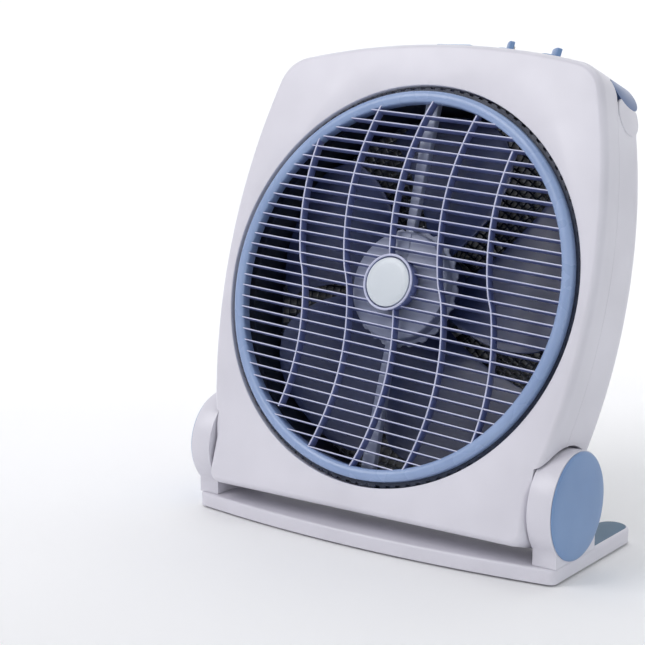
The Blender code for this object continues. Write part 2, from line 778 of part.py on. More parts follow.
def make_button():
    button = prism("swing_button", button_outline, [(-0.0060, 0), (0.0026, 0), (0.0034, 0.0010)], "blue_abs")
    join(button, box("stem", (-0.0030, -0.0030, -0.0180), (0.0030, 0.0030, -0.0050)))
    return seat(button, button_axis)


# ---------------------------------------------------------------- inner and small pieces of the body
def make_small_pieces():
    pieces = [
        box("motor_capacitor", (-0.1250, 0.0380, -0.2050), (-0.0900, 0.0600, -0.1800), "nylon"),
        box("terminal_block", (0.1150, 0.0400, -0.2050), (0.1380, 0.0560, -0.1930), "nylon"),
    ]
    gland = turned("cord_gland", [(0.0034, 0.0710), (0.0062, 0.0710), (0.0062, REAR + GAP),
                                  (0.0090, REAR + GAP), (0.0080, 0.0848), (0.0034, 0.0848)], 14,
                   "black_abs", closed=True, at=(GLAND_X, 0, GLAND_Z))
    pieces.append(gland)
    for number, (x, z) in enumerate(SCREW_PLACES, 1):
        screw = turned(f"case_screw_{number}", [(0.0016, 0.0600), (0.0018, REAR), (0.0040, REAR + GAP),
                                                (0.0036, 0.0842)], 10, "steel", at=(x, 0, z))
        pieces.append(screw)
    for side, word in ((-1, "left"), (1, "right")):
        washer = tube(f"friction_washer_{word}", 0.0054, 0.0140, side * (CHEEK + GAP),
                      side * (PILLAR_IN - GAP), 18, "nylon", "X", (0, PIVOT_DEPTH, PIVOT_HEIGHT))
        pieces.append(washer)
    return [seat(piece, body) for piece in pieces]


# ---------------------------------------------------------------- the stand
def pillar_outline(inset):
    """Round head about the pivot on a straight column."""
    radius = PILLAR_R - inset
    half = COLUMN_HALF - inset
    low = math.asin(math.sqrt(1 - (half / radius) ** 2))
    points = [(PIVOT_Y + half, BASE_TOP + GAP)]
    for angle in spread(-low, math.pi + low, 19):
        points.append((PIVOT_Y + radius * math.cos(angle), PIVOT_Z + radius * math.sin(angle)))
    points.append((PIVOT_Y - half, BASE_TOP + GAP))
    return points


def make_pillar(side, word):
    layers = [(side * PILLAR_IN, 0.0), (side * 0.2020, 0.0), (side * PILLAR_OUT, 0.0026)]
    pillar = prism(f"pillar_{word}", pillar_outline, layers, "white_abs", "X")
    centre = (0, PIVOT_Y, PIVOT_Z)
    cut(pillar, rod("cap_seat", CAP_R + GAP, side * 0.2000, side * 0.2200, 32, axis="X", at=centre))
    cut(pillar, rod("head_seat", 0.0100, side * 0.1930, side * 0.2100, 16, axis="X", at=centre))
    cut(pillar, rod("bore", 0.0052, side * 0.1700, side * 0.2100, 12, axis="X", at=centre))
    bolt = turned(f"pivot_bolt_{word}", [(0.0049, side * 0.1540), (0.0049, side * 0.1933),
                                         (0.0085, side * 0.1933), (0.0085, side * 0.1985)], 14, "steel",
                  "X", at=centre)
    nut = rod(f"pivot_nut_{word}", 0.0092, side * 0.1590, side * 0.1652, 6, axis="X", at=centre)
    cut(nut, rod("thread", 0.0052, side * 0.1500, side * 0.1700, 14, axis="X", at=centre))
    cap = turned(f"pivot_cap_{word}", [
        (CAP_R, side * (0.2000 + GAP)), (CAP_R, side * 0.2060), (0.0450, side * 0.2078),
        (0.0300, side * 0.2090)], 32, "blue_abs", "X", at=centre)
    return [seat(piece, stand) for piece in (pillar, bolt, nut, cap)]


def base_half_outline(inset):
    """Right-hand half of the stand seen from above, from the front middle to the bar's rear middle."""
    curve = BASE_BOW / BASE_HALF ** 2
    half = [(x, BASE_FRONT + inset + curve * x * x) for x in spread(0, BASE_HALF - 0.009, 8)]
    corner_y = half[-1][1]
    side = BASE_HALF - inset
    half.append((side - 0.0028, corner_y + 0.0030))
    half.append((side, corner_y + 0.0095))
    middle = (FOOT_IN + BASE_HALF) / 2
    radius = (BASE_HALF - FOOT_IN) / 2 - inset
    for angle in spread(0, math.pi, 11):
        half.append((middle + radius * math.cos(angle), FOOT_END + radius * math.sin(angle)))
    inner = FOOT_IN + inset
    corner = 0.012
    for angle in spread(0, -math.pi / 2, 4):
        half.append((inner - corner + corner * math.cos(angle),
                     BASE_BAR_REAR - inset + corner + corner * math.sin(angle)))
    half.append((0.0, BASE_BAR_REAR - inset))
    return half


def base_outline(inset):
    half = base_half_outline(inset)
    return half + [(-x, y) for x, y in reversed(half[1:-1])]


def inlay_outline(inset):
    """Outline of the inlay on the right-hand foot."""
    middle = (FOOT_IN + BASE_HALF) / 2
    radius = (BASE_HALF - FOOT_IN) / 2 - 0.0022 - inset
    points = [(middle - radius, 0.0340 + inset), (middle + radius, 0.0340 + inset)]
    for angle in spread(0, math.pi, 9):
        points.append((middle + radius * math.cos(angle), FOOT_END + radius * math.sin(angle)))
    return points


def flipped(points):
    return [(-x, y) for x, y in reversed(points)]


def make_base():
    base = prism("base", base_outline, [(BASE_UNDER, 0.0008), (BASE_UNDER + 0.001, 0),
                                        (BASE_TOP - 0.0014, 0), (BASE_TOP, 0.0012)])
    pieces = [base]
    for side, word in ((-1, "left"), (1, "right")):
        def place(inset, hand=side):
            points = inlay_outline(inset)
            return points if hand > 0 else flipped(points)
        cut(base, prism("inlay_seat", place, [(BASE_TOP - 0.0011, -GAP), (BASE_TOP + 0.002, -GAP)]))
        pieces.append(prism(f"foot_inlay_{word}", place, [(BASE_TOP - 0.0008, 0), (BASE_TOP + 0.0004, 0)],
                            "inlay_grey"))
        for y, end in ((-0.0300, "front"), (0.0960, "rear")):
            pad = turned(f"rubber_foot_{end}_{word}", [(0.0070, 0.0), (0.0078, BASE_UNDER - GAP)], 18,
                         "rubber", "Z", at=(side * 0.1880, y, 0))
            pieces.append(pad)
    return [seat(piece, stand) for piece in pieces]


make_base()
for hand, label in ((-1, "left"), (1, "right")):
    make_pillar(hand, label)
    make_handle_guide(f"handle_guide_{label}", hand)
make_front_shell()
make_rear_shell()
make_handle()
make_grille()
make_grille_centre()
make_grille_drive()
make_rotor()
make_motor()
make_rear_guard()
make_panel()
make_control_box()
make_rotary("speed", speed_axis, math.radians(126))
make_rotary("timer", timer_axis, math.radians(119))
make_switches()
make_button()
make_small_pieces()
bpy.context.view_layer.update()
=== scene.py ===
# %% [markdown]
# # A box fan on a tilting stand
# This lesson dresses the working model of a box fan. The working model (the frame) already holds every
# piece at its right place and size, and its joints. Here each visible piece is modelled again, fine enough
# to be looked at closely, and given the finish of the real thing. All lengths are in metres.

import json
import math

import bmesh
import bpy
from mathutils import Matrix, Vector


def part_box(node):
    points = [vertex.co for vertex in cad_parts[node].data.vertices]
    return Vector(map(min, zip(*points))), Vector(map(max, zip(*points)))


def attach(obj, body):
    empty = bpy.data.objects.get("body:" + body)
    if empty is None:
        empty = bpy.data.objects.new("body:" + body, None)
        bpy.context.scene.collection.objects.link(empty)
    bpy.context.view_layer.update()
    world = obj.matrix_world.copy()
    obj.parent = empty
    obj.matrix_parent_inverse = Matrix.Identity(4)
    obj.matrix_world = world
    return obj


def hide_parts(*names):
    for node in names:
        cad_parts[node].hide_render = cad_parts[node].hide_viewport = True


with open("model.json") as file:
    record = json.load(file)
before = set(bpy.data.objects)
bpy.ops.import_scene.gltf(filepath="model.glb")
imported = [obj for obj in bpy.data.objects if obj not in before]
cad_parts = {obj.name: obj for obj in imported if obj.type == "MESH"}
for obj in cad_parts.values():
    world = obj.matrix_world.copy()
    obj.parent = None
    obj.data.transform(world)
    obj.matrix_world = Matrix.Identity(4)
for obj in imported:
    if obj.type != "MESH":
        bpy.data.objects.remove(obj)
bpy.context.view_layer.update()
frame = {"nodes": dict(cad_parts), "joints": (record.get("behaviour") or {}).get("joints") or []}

# %% [markdown]
# ## Where the pieces go
# The fan's body leans back on its stand. It is far easier to model it standing straight and to lean it
# at the end, so the pieces of the body are made in the body's own axes: x to the fan's right, y into
# its depth and z up its height, with the origin in the middle of the round opening. The joint that the
# blades spin on gives those axes. The louvre grille has turned a little, and has axes of its own.

# %% The axes of the body, the louvre grille and the world, and the pivot
joints = {joint["name"]: joint for joint in frame["joints"]}


def axes(origin, across, up):
    """A placement matrix with x along `across` and z along `up`."""
    across = Vector(across).normalized()
    up = Vector(up).normalized()
    return Matrix.Translation(Vector(origin)) @ Matrix((across, up.cross(across), up)).transposed().to_4x4()


opening = Vector(joints["fan_spin"]["pos_m"])
depth_axis = Vector(joints["fan_spin"]["axis"]).normalized()
BODY = axes(opening, (1, 0, 0), Vector((1, 0, 0)).cross(depth_axis))
LOUVRE = BODY @ Matrix.Rotation(math.radians(4.05), 4, "Y")
WORLD = Matrix.Identity(4)
PIVOT = Vector(joints["tilt"]["pos_m"])


def body_box(*nodes):
    """Lowest and highest corner of CAD nodes, measured along the body's own axes."""
    back = BODY.inverted()
    points = [back @ v.co for name in nodes for v in frame["nodes"][name].data.vertices]
    return [Vector([pick(point[i] for point in points) for i in range(3)]) for pick in (min, max)]


shell_low, shell_high = body_box("front_shell", "rear_shell")
print("lean", round(math.degrees(math.asin(-depth_axis.z)), 1), "deg, body", shell_low, shell_high)

# %% [markdown]
# ## The camera comes first
# A product view at about eye height for a fan on a table: 36 degrees to the fan's right and 11 degrees up,
# with a long lens from 1.5 metres, so that round things stay round.

# %% The camera
AZIMUTH = math.radians(36.4)
ELEVATION = math.radians(10.59)
bpy.ops.object.camera_add(location=opening + Vector((0.8220, -1.2282, 0.2383)),
                          rotation=(math.pi / 2 - ELEVATION, 0, AZIMUTH))
camera = bpy.context.active_object
camera.data.lens = 87.46
camera.data.sensor_width = 36.0
camera.data.clip_start = 0.01
bpy.context.scene.camera = camera
print("camera at", camera.location)

# %% [markdown]
# ## A small workshop
# These are the moves of a hand modeller, each in a function: add a primitive at its size, pick faces or
# edges by where they are, apply a modifier, cut one solid with another. Every one leaves a plain mesh.

# %% Adding and selecting
def ready(name):
    """Name the object that was just added, with its place baked into its mesh."""
    made = bpy.context.active_object
    made.name = name
    made.data.name = name
    bpy.ops.object.transform_apply(location=True, rotation=True, scale=True)
    return made


def clear():
    """Leave edit mode and select nothing, because an operator acts on all that is selected."""
    if bpy.context.mode != "OBJECT":
        bpy.ops.object.mode_set(mode="OBJECT")
    bpy.ops.object.select_all(action="DESELECT")


def only(piece):
    clear()
    piece.select_set(True)
    bpy.context.view_layer.objects.active = piece


def middle(part):
    """Where a vertex, an edge or a face is."""
    if isinstance(part, bmesh.types.BMVert):
        return part.co
    return sum((v.co for v in part.verts), Vector()) / len(part.verts)


def pick(piece, kind, test):
    """Enter edit mode with just the vertices, edges or faces selected that pass the test."""
    only(piece)
    bpy.ops.object.mode_set(mode="EDIT")
    bpy.ops.mesh.select_mode(type=kind)
    bpy.ops.mesh.select_all(action="DESELECT")
    mesh = bmesh.from_edit_mesh(piece.data)
    parts = {"VERT": mesh.verts, "EDGE": mesh.edges, "FACE": mesh.faces}[kind]
    chosen = [part for part in parts if test(part)]
    for part in chosen:
        part.select_set(True)
    bmesh.update_edit_mesh(piece.data)
    return len(chosen)


def modify(piece, kind, **settings):
    """Add a modifier and apply it at once."""
    only(piece)
    step = piece.modifiers.new(kind.lower(), kind)
    for key, value in settings.items():
        setattr(step, key, value)
    bpy.ops.object.modifier_apply(modifier=step.name)
    return piece


def combine(piece, how, *tools):
    """Boolean each tool into the piece and throw the tool away."""
    for tool in tools:
        modify(piece, "BOOLEAN", object=tool, operation=how, solver="EXACT")
        bpy.data.objects.remove(tool)
    return piece


def cut(piece, *tools):
    return combine(piece, "DIFFERENCE", *tools)


def join(piece, *tools):
    return combine(piece, "UNION", *tools)


def common(piece, *tools):
    return combine(piece, "INTERSECT", *tools)


def joined(name, parts):
    """Several meshes made one object, without a Boolean."""
    clear()
    for part in parts:
        part.select_set(True)
    bpy.context.view_layer.objects.active = parts[0]
    bpy.ops.object.join()
    parts[0].name = name
    return parts[0]


def mirrored(piece, side):
    """The piece itself for the fan's right side, and its mirror image for side -1."""
    if side < 0:
        piece.data.transform(Matrix.Scale(-1, 4, (1, 0, 0)))
        piece.data.flip_normals()
    return piece


def turned(piece, index, count):
    """Turn a piece about the depth axis to place `index` of `count` places."""
    piece.data.transform(Matrix.Rotation(2 * math.pi * index / count, 4, "Y"))
    return piece


# %% Basic solids, each placed as it is added
TURN_TO = {"X": (0, math.pi / 2, 0), "Y": (-math.pi / 2, 0, 0), "Z": (0, 0, 0)}


def drum(name, radius, low, high, sides=96, axis="Y", at=(0, 0, 0)):
    """A cylinder from low to high along an axis through `at`."""
    clear()
    place = Vector(at)
    place["XYZ".index(axis)] += (low + high) / 2
    bpy.ops.mesh.primitive_cylinder_add(vertices=sides, radius=radius, depth=abs(high - low),
                                        location=place, rotation=TURN_TO[axis])
    return ready(name)


def block(name, low, high):
    """A box between two corners."""
    clear()
    low, high = Vector(low), Vector(high)
    bpy.ops.mesh.primitive_cube_add(size=1, location=(low + high) / 2, scale=high - low)
    return ready(name)


def lathe(name, profile, steps=96, axis="Y", at=(0, 0, 0), close=False):
    """Turn a profile of (radius, position) points about an axis through `at`, as on a lathe."""
    clear()
    along = Vector([float(letter == axis) for letter in "XYZ"])
    out = Vector((0, 1, 0)) if axis == "X" else Vector((1, 0, 0))
    spots = [Vector(at) + out * radius + along * position for radius, position in profile]
    bpy.ops.mesh.primitive_plane_add(size=0.0001, location=spots[0])
    made = ready(name)
    bpy.ops.object.mode_set(mode="EDIT")
    bpy.ops.mesh.select_mode(type="VERT")
    bpy.ops.mesh.select_all(action="SELECT")
    bpy.ops.mesh.merge(type="CENTER")
    if close:
        spots.append(spots[0])
    for near, far in zip(spots, spots[1:]):
        bpy.ops.mesh.extrude_region_move(TRANSFORM_OT_translate={"value": far - near})
    bpy.ops.mesh.select_all(action="SELECT")
    bpy.ops.mesh.spin(steps=steps, angle=2 * math.pi, center=Vector(at), axis=along)
    bpy.ops.mesh.select_all(action="SELECT")
    bpy.ops.mesh.remove_doubles(threshold=0.00001)
    bpy.ops.mesh.normals_make_consistent(inside=False)
    clear()
    return made


def plate(name, outline, level, thickness, axis="Y"):
    """A solid from a flat outline: a filled circle whose points are moved on to it, then extruded."""
    clear()
    bpy.ops.mesh.primitive_circle_add(vertices=len(outline), radius=0.01, fill_type="NGON")
    made = ready(name)
    for vertex, (a, b) in zip(made.data.vertices, outline):
        vertex.co = {"X": (level, a, b), "Y": (a, level, b), "Z": (a, b, level)}[axis]
    only(made)
    bpy.ops.object.mode_set(mode="EDIT")
    bpy.ops.mesh.select_all(action="SELECT")
    step = [thickness if letter == axis else 0 for letter in "XYZ"]
    bpy.ops.mesh.extrude_region_move(TRANSFORM_OT_translate={"value": step})
    bpy.ops.mesh.select_all(action="SELECT")
    bpy.ops.mesh.normals_make_consistent(inside=False)
    clear()
    return made


def fold(piece, test, reach, drop, steps=8):
    """Round the rim of a flat face: inset it again and again while it rises along a quarter ellipse."""
    pick(piece, "FACE", test)
    turns = [math.pi / 2 * i / steps for i in range(steps + 1)]
    for a, b in zip(turns, turns[1:]):
        bpy.ops.mesh.inset(thickness=reach * (math.cos(a) - math.cos(b)),
                           depth=drop * (math.sin(b) - math.sin(a)))
    clear()
    return piece


def bevel(piece, width, segments=3, test=None):
    """Round the edges that pass the test, or every edge that is sharper than 40 degrees."""
    if test is None:
        return modify(piece, "BEVEL", width=width, segments=segments, limit_method="ANGLE",
                      angle_limit=math.radians(40), use_clamp_overlap=True)
    pick(piece, "EDGE", test)
    bpy.ops.mesh.bevel(offset=width, segments=segments, clamp_overlap=True)
    clear()
    return piece


# %% [markdown]
# ## Finishes
# Nearly all of this fan is injection-moulded ABS. Its gloss comes from the polish of the mould, so it is
# not even: it has a fine spark-eroded grain, slow waves in its roughness where the melt cooled, and
# a slight cloudiness in its colour. One function makes such a plastic from two close colours, a grain
# size and a roughness. Metal and copper get a function of their own, because they look different
# for other reasons; rubber is made with the plastic's function.

# %% One function for colours, and one that adds a node
def linear(code):
    """An sRGB hex colour as the linear colour that a shader takes."""
    parts = [int(code[i:i + 2], 16) / 255 for i in (1, 3, 5)]
    return [c / 12.92 if c <= 0.04045 else ((c + 0.055) / 1.055) ** 2.4 for c in parts] + [1.0]


def add(tree, kind, inputs=None, **settings):
    """Add one node, set its properties, and fill or link its inputs."""
    made = tree.nodes.new(kind)
    for key, value in settings.items():
        setattr(made, key, value)
    for socket, value in (inputs or {}).items():
        if isinstance(value, bpy.types.NodeSocket):
            tree.links.new(value, made.inputs[socket])
        else:
            made.inputs[socket].default_value = value
    return made


def started(name):
    """An empty material, its node tree, its shader and the object's own coordinates."""
    made = bpy.data.materials.new(name)
    made.use_nodes = True
    tree = made.node_tree
    shader = tree.nodes["Principled BSDF"]
    place = add(tree, "ShaderNodeTexCoord").outputs["Object"]
    return made, tree, shader, place


def noise(tree, place, size, detail=2.0):
    """Noise whose blobs are about `size` metres across."""
    return add(tree, "ShaderNodeTexNoise", {"Vector": place, "Scale": 0.6 / size, "Detail": detail})


def spread(tree, value, low, high):
    """Stretch a noise value to run from low to high."""
    made = add(tree, "ShaderNodeMapRange", {"Value": value, "From Min": 0.3, "From Max": 0.7,
                                            "To Min": low, "To Max": high})
    return made.outputs["Result"]


def blended(tree, value, first, second):
    """A colour between two hex colours, by a noise value."""
    ramp = add(tree, "ShaderNodeValToRGB", {"Fac": value})
    ramp.color_ramp.elements[0].position = 0.32
    ramp.color_ramp.elements[0].color = linear(first)
    ramp.color_ramp.elements[1].position = 0.68
    ramp.color_ramp.elements[1].color = linear(second)
    return ramp.outputs["Color"]


# %% Moulded plastics
def moulded(name, dark, light, rough, swing, grain, relief, ior=1.54, sheen=0.0):
    """Moulded plastic: cloudy colour, uneven gloss and a fine grain of `grain` metres."""
    made, tree, shader, place = started(name)
    cloud = noise(tree, place, 0.045, 2.0).outputs["Fac"]
    flow = noise(tree, place, 0.020, 2.0).outputs["Fac"]
    fine = noise(tree, place, grain, 3.0).outputs["Fac"]
    tree.links.new(blended(tree, cloud, dark, light), shader.inputs["Base Color"])
    tree.links.new(spread(tree, flow, rough - swing, rough + swing), shader.inputs["Roughness"])
    bump = add(tree, "ShaderNodeBump", {"Height": fine, "Strength": 0.35, "Distance": relief})
    tree.links.new(bump.outputs["Normal"], shader.inputs["Normal"])
    shader.inputs["IOR"].default_value = ior
    shader.inputs["Sheen Weight"].default_value = sheen
    return made


# Polished ABS with a cool, faintly violet white: soft wide highlights.
abs_white = moulded("abs_white_moulded", "#d7d5de", "#dfdde6", 0.34, 0.05, 0.0011, 0.00006)
# Steel-blue ABS of the caps, the knobs and the button: a little glossier than the shells.
abs_blue = moulded("abs_steel_blue_moulded", "#6f8ebb", "#7a99c4", 0.32, 0.05, 0.0010, 0.00005)
# The handle gets a darker copy of it: painted shade, as the handle faces away from the key light.
abs_blue_painted_shade = moulded("abs_steel_blue_painted_shade", "#4f6692", "#5a729e", 0.34, 0.03, 0.0010, 0.00002)
# The grille's own blue, seen as a bright rolled ring.
abs_ring = moulded("abs_ring_blue_moulded", "#889ec6", "#94a9cf", 0.27, 0.05, 0.0010, 0.00004)
# Slats and ribs: two copies of one lavender resin, a pale one on the thin front edges as a painted highlight
# and a darker one on the faces behind them as painted shade.
slat_painted_lit_edge = moulded("as_resin_lavender_painted_lit_edge", "#bdc1dc", "#cbcee5", 0.30, 0.06, 0.0010, 0.00004)
slat_painted_shade = moulded("as_resin_lavender_painted_shade", "#6670a4", "#747eb0", 0.33, 0.06, 0.0010, 0.00004)
# Cap in the middle of the grille: nearly white and slightly green.
abs_cap = moulded("abs_cap_white_moulded", "#cdd4dc", "#d7dde3", 0.30, 0.04, 0.0011, 0.00004)
# The bracket's discs: natural, slightly translucent polypropylene.
PP_IOR = 1.49
pp_disc = moulded("polypropylene_natural_moulded", "#a3abc2", "#b6bdd1", 0.42, 0.06, 0.0013, 0.00006, PP_IOR)
# Blades: deep blue-violet AS resin, clear and hard, which keeps a mirror-like mould polish.
as_blade = moulded("as_resin_blade_moulded", "#2b3558", "#3a466e", 0.36, 0.08, 0.0080, 0.00015)
# Rear guard: dark polypropylene. The air duct gets the same dark finish.
pp_guard = moulded("polypropylene_dark_moulded", "#232b3c", "#2e374a", 0.45, 0.08, 0.0012, 0.00006, PP_IOR)
# The rim behind the grille's ring: deep blue, a painted shadow line in the gap round the ring.
pp_rim_painted_shadow = moulded("polypropylene_painted_shadow_rim", "#222a3d", "#2b3449", 0.45, 0.08, 0.0012, 0.00006, PP_IOR)
# Control panel: cream ABS with a matt spark-eroded face.
abs_cream = moulded("abs_cream_spark_eroded", "#e2e3da", "#e8e9e1", 0.50, 0.06, 0.0007, 0.00008)
# Blue-grey tops of the feet: painted shade of the body's shadow over them, as a matt plate on each foot.
foot_top_painted_shade = moulded("blue_grey_painted_shade_foot_top", "#5a748a", "#668096", 0.72, 0.08, 0.0009, 0.00012,
                    sheen=0.1)
# Rubber pads: matt, nearly black.
rubber_pad = moulded("rubber_black_moulded", "#17181a", "#202123", 0.80, 0.08, 0.0009, 0.00015, ior=1.52)
# Switch bodies, tray and nut: black nylon. Shafts, timer and terminals: the same nylon, undyed.
nylon_black = moulded("nylon_black_moulded", "#131417", "#1d1e22", 0.50, 0.08, 0.0010, 0.00008, ior=1.53)
nylon_pale = moulded("nylon_natural_moulded", "#cfcbba", "#dad6c7", 0.48, 0.08, 0.0010, 0.00008, ior=1.53)
# Panel print: matt black ink.
ink = moulded("pad_print_black_ink", "#14151a", "#1e2026", 0.62, 0.06, 0.0006, 0.00002)


# %% Metals
def metal(name, dark, light, rough, swing, streak):
    """Metal with fine turned or drawn marks: noise stretched along one direction."""
    made, tree, shader, place = started(name)
    drawn = add(tree, "ShaderNodeMapping", {"Vector": place, "Scale": (1.0, streak, 1.0)}).outputs["Vector"]
    marks = noise(tree, drawn, 0.0012, 4.0).outputs["Fac"]
    cloud = noise(tree, place, 0.015, 3.0).outputs["Fac"]
    tree.links.new(blended(tree, cloud, dark, light), shader.inputs["Base Color"])
    tree.links.new(spread(tree, marks, rough - swing, rough + swing), shader.inputs["Roughness"])
    bump = add(tree, "ShaderNodeBump", {"Height": marks, "Strength": 0.3, "Distance": 0.00004})
    tree.links.new(bump.outputs["Normal"], shader.inputs["Normal"])
    shader.inputs["Metallic"].default_value = 1.0
    return made


# Bright zinc plate on screws, nuts, bolts and the gear motor's can.
zinc = metal("steel_zinc_plated", "#a3a8ae", "#b8bcc2", 0.32, 0.08, 6.0)
# Ground steel of shafts and bearings.
ground_steel = metal("steel_ground", "#9c9fa3", "#b0b3b7", 0.22, 0.06, 12.0)
# Stacked laminations show as fine lines across the shaft.
laminated = metal("electrical_steel_stacked", "#4a4c52", "#63656c", 0.42, 0.10, 40.0)
# Enamelled copper windings.
copper = metal("copper_wire_enamelled", "#8a4a26", "#b26434", 0.34, 0.10, 18.0)
print("finishes:", len(bpy.data.materials))


# %% [markdown]
# ## Handing a piece over
# A finished piece is moved to its place in the world with that place baked into its mesh, shaded smooth
# up to an angle, given its finish, and tied to the body that carries it.


def hand_over(piece, finish, body, stands_for=(), placed=BODY, smooth=32):
    """Put a piece in place, give it its finish and let it ride on its body."""
    only(piece)
    piece.data.transform(placed)
    piece.data.materials.clear()
    piece.data.materials.append(finish)
    bpy.ops.object.shade_smooth_by_angle(angle=math.radians(smooth))
    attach(piece, body)
    if stands_for:
        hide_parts(*stands_for)
    print(f"{piece.name}: {len(piece.data.polygons)} faces")
    return piece

# %% [markdown]
# ## The outline of the body
# Seen from the front, the body is not a square: its sides are shallow barrels, its top is a flat arch, and
# arcs join them. Four arcs describe the right-hand half. Every layer of the body is this outline moved
# inwards by some inset, so the outline is a function of the inset.

# %% The four arcs
WALL = 0.0026                    # thickness of the shells
CHEEK = 0.1808                   # half-width between the pillars
SIDE_R, SIDE_C = 0.642, Vector((-0.4325, 0.0150))
TOP_R, TOP_C = 0.800, Vector((0.0, -0.5625))
CORNER_R = 0.038
BOTTOM, BOTTOM_R = -0.220, 0.0120


def corner_centre():
    """Where an arc of CORNER_R sits so that it touches the side arc and the top arc."""
    near, far = SIDE_R - CORNER_R, TOP_R - CORNER_R
    apart = TOP_C - SIDE_C
    reach = (near ** 2 - far ** 2 + apart.length_squared) / (2 * apart.length)
    unit = apart.normalized()
    return SIDE_C + unit * reach + Vector((-unit.y, unit.x)) * math.sqrt(near ** 2 - reach ** 2)


CORNER_C = corner_centre()
LOW_TURN = math.atan2(*(CORNER_C - SIDE_C).yx)
HIGH_TURN = math.atan2(*(CORNER_C - TOP_C).yx)


def arc(centre, radius, first, last, count):
    turns = [first + (last - first) * i / count for i in range(count + 1)]
    return [(centre.x + radius * math.cos(t), centre.y + radius * math.sin(t)) for t in turns]


def outline(inset=0.0):
    """The closed outline (x, height), moved inwards by the inset."""
    cheek = CHEEK - inset
    small = max(BOTTOM_R - inset, 0.0010)
    half = arc(Vector((cheek - small, BOTTOM + inset + small)), small, -math.pi / 2, 0, 8)
    start = -math.acos((cheek - SIDE_C.x) / (SIDE_R - inset))
    half += arc(SIDE_C, SIDE_R - inset, start, LOW_TURN, 36)
    half += arc(CORNER_C, CORNER_R - inset, LOW_TURN, HIGH_TURN, 16)[1:]
    half += arc(TOP_C, TOP_R - inset, HIGH_TURN, math.pi / 2, 24)[1:]
    return half + [(-x, z) for x, z in reversed(half[:-1])]


def form(name, inset, near, far):
    """A straight block of the body's outline between two depths."""
    return plate(name, outline(inset), near, far - near)


def top_of(x, inset=0.0):
    """Height of the arched top at x."""
    return TOP_C.y + math.sqrt((TOP_R - inset) ** 2 - x * x)


print("outline points:", len(outline()), "corner centre", CORNER_C)

# %% [markdown]
# ## The front shell
# The front shell is a tray with a round window. A block of the outline gets a soft fold on its front rim
# by insetting the front face again and again. A smaller block, made the same way, hollows it.
# A drum cuts the window, and its edge is beveled into the thin lip that catches the light.

# %% Front shell
SEAM = 0.0290                    # where the shells meet
SEAM_GAP = 0.00015
OPENING_R = 0.1950
FOLD = 0.0090
NOTCH_R = 0.0530                 # clears the pillars
PANEL_X = (-0.0145, 0.1425)      # the control panel in the top
PANEL_Y = (0.0095, 0.0565)
pivot = BODY.inverted() @ PIVOT


def facing(direction, level, axis):
    """A test for the faces at one level that look one way."""
    way = Vector(direction)
    return lambda face: face.normal.dot(way) > 0.99 and abs(middle(face)[axis] - level) < 0.0001


def notches(grow):
    """The two side drums that make room for the pillars."""
    at = (0, pivot.y, pivot.z)
    spans = ((-0.26, -CHEEK + grow), (CHEEK - grow, 0.26))
    return [drum("notch", NOTCH_R + grow, low, high, 96, "X", at) for low, high in spans]


def panel_window():
    """What the control panel takes out of both shells."""
    return block("window", (PANEL_X[0], PANEL_Y[0], 0.205), (PANEL_X[1], PANEL_Y[1], 0.260))


front_shell = form("front_shell_skin", 0.0, FOLD, SEAM - SEAM_GAP)
fold(front_shell, facing((0, -1, 0), FOLD, 1), FOLD * 0.7, FOLD)
hollow = form("hollow", WALL, FOLD, 0.060)
fold(hollow, facing((0, -1, 0), FOLD, 1), (FOLD - WALL) * 0.7, FOLD - WALL, 5)
cut(hollow, *notches(WALL))
cut(front_shell, *notches(0.0), hollow)
join(front_shell, lathe("collar", [(OPENING_R, 0.0008), (OPENING_R + 0.0026, 0.0008),
                                   (OPENING_R + 0.0026, 0.0200), (OPENING_R, 0.0200)], 192, close=True))
cut(front_shell, drum("window", OPENING_R, -0.010, 0.030, 192), panel_window())
bevel(front_shell, 0.0011, 3, lambda edge: all(
    abs(math.hypot(v.co.x, v.co.z) - OPENING_R) < 0.0002 and abs(v.co.y) < 0.0002 for v in edge.verts))
hand_over(front_shell, abs_white, "fan_body", ["front_shell"])

# %% [markdown]
# ## The handle and the step that it lies in
# The carrying handle lies flush in a step along the rear top edge, as wide as two fingers along the top
# and with deep lobes over the shoulders. Handle and step are the same shape, one cut with a little
# clearance: the ring between two outlines, trimmed in front. The trim goes straight up, because the handle
# slides up and down. Two flat tongues under the lobes slide in slots of the rear shell and guide it.

# %% One shape for both
LOBE_Y, LOBE_X = 0.0330, 0.1765
BAR_Y, BAR_X = 0.0605, 0.1520
HANDLE_THICK = 0.0105
HANDLE_LOW = 0.1940
STEP_LOW = 0.1800
STEP_DEEP = 0.0125
PAST = -0.012                    # an inset well outside the body, for cutters
CLEAR = 0.0010


def bail(name, outside, inside, low, rear, clear):
    """A bow over the top of the body between two insets, with a narrow bar and deep shoulder lobes."""
    ring = form(name, outside, LOBE_Y - clear, rear)
    cut(ring, form("core", inside, LOBE_Y - 0.02, rear + 0.02))
    cut(ring, block("below", (-0.3, -0.1, -0.3), (0.3, 0.2, low)))
    corners = [(LOBE_X - clear, LOBE_Y - clear), (BAR_X - clear, BAR_Y - clear)]
    front = [(LOBE_X - clear, -0.02)] + corners
    trim = plate("trim", front + [(-x, y) for x, y in reversed(front)], 0.10, 0.25, axis="Z")
    for x, y in reversed(corners):
        bevel(trim, 0.009, 8, lambda edge, x=x, y=y: abs(abs(middle(edge).x) - x) < 0.001
              and abs(middle(edge).y - y) < 0.001 and abs(edge.verts[0].co.z - edge.verts[1].co.z) > 0.1)
    return cut(ring, trim)


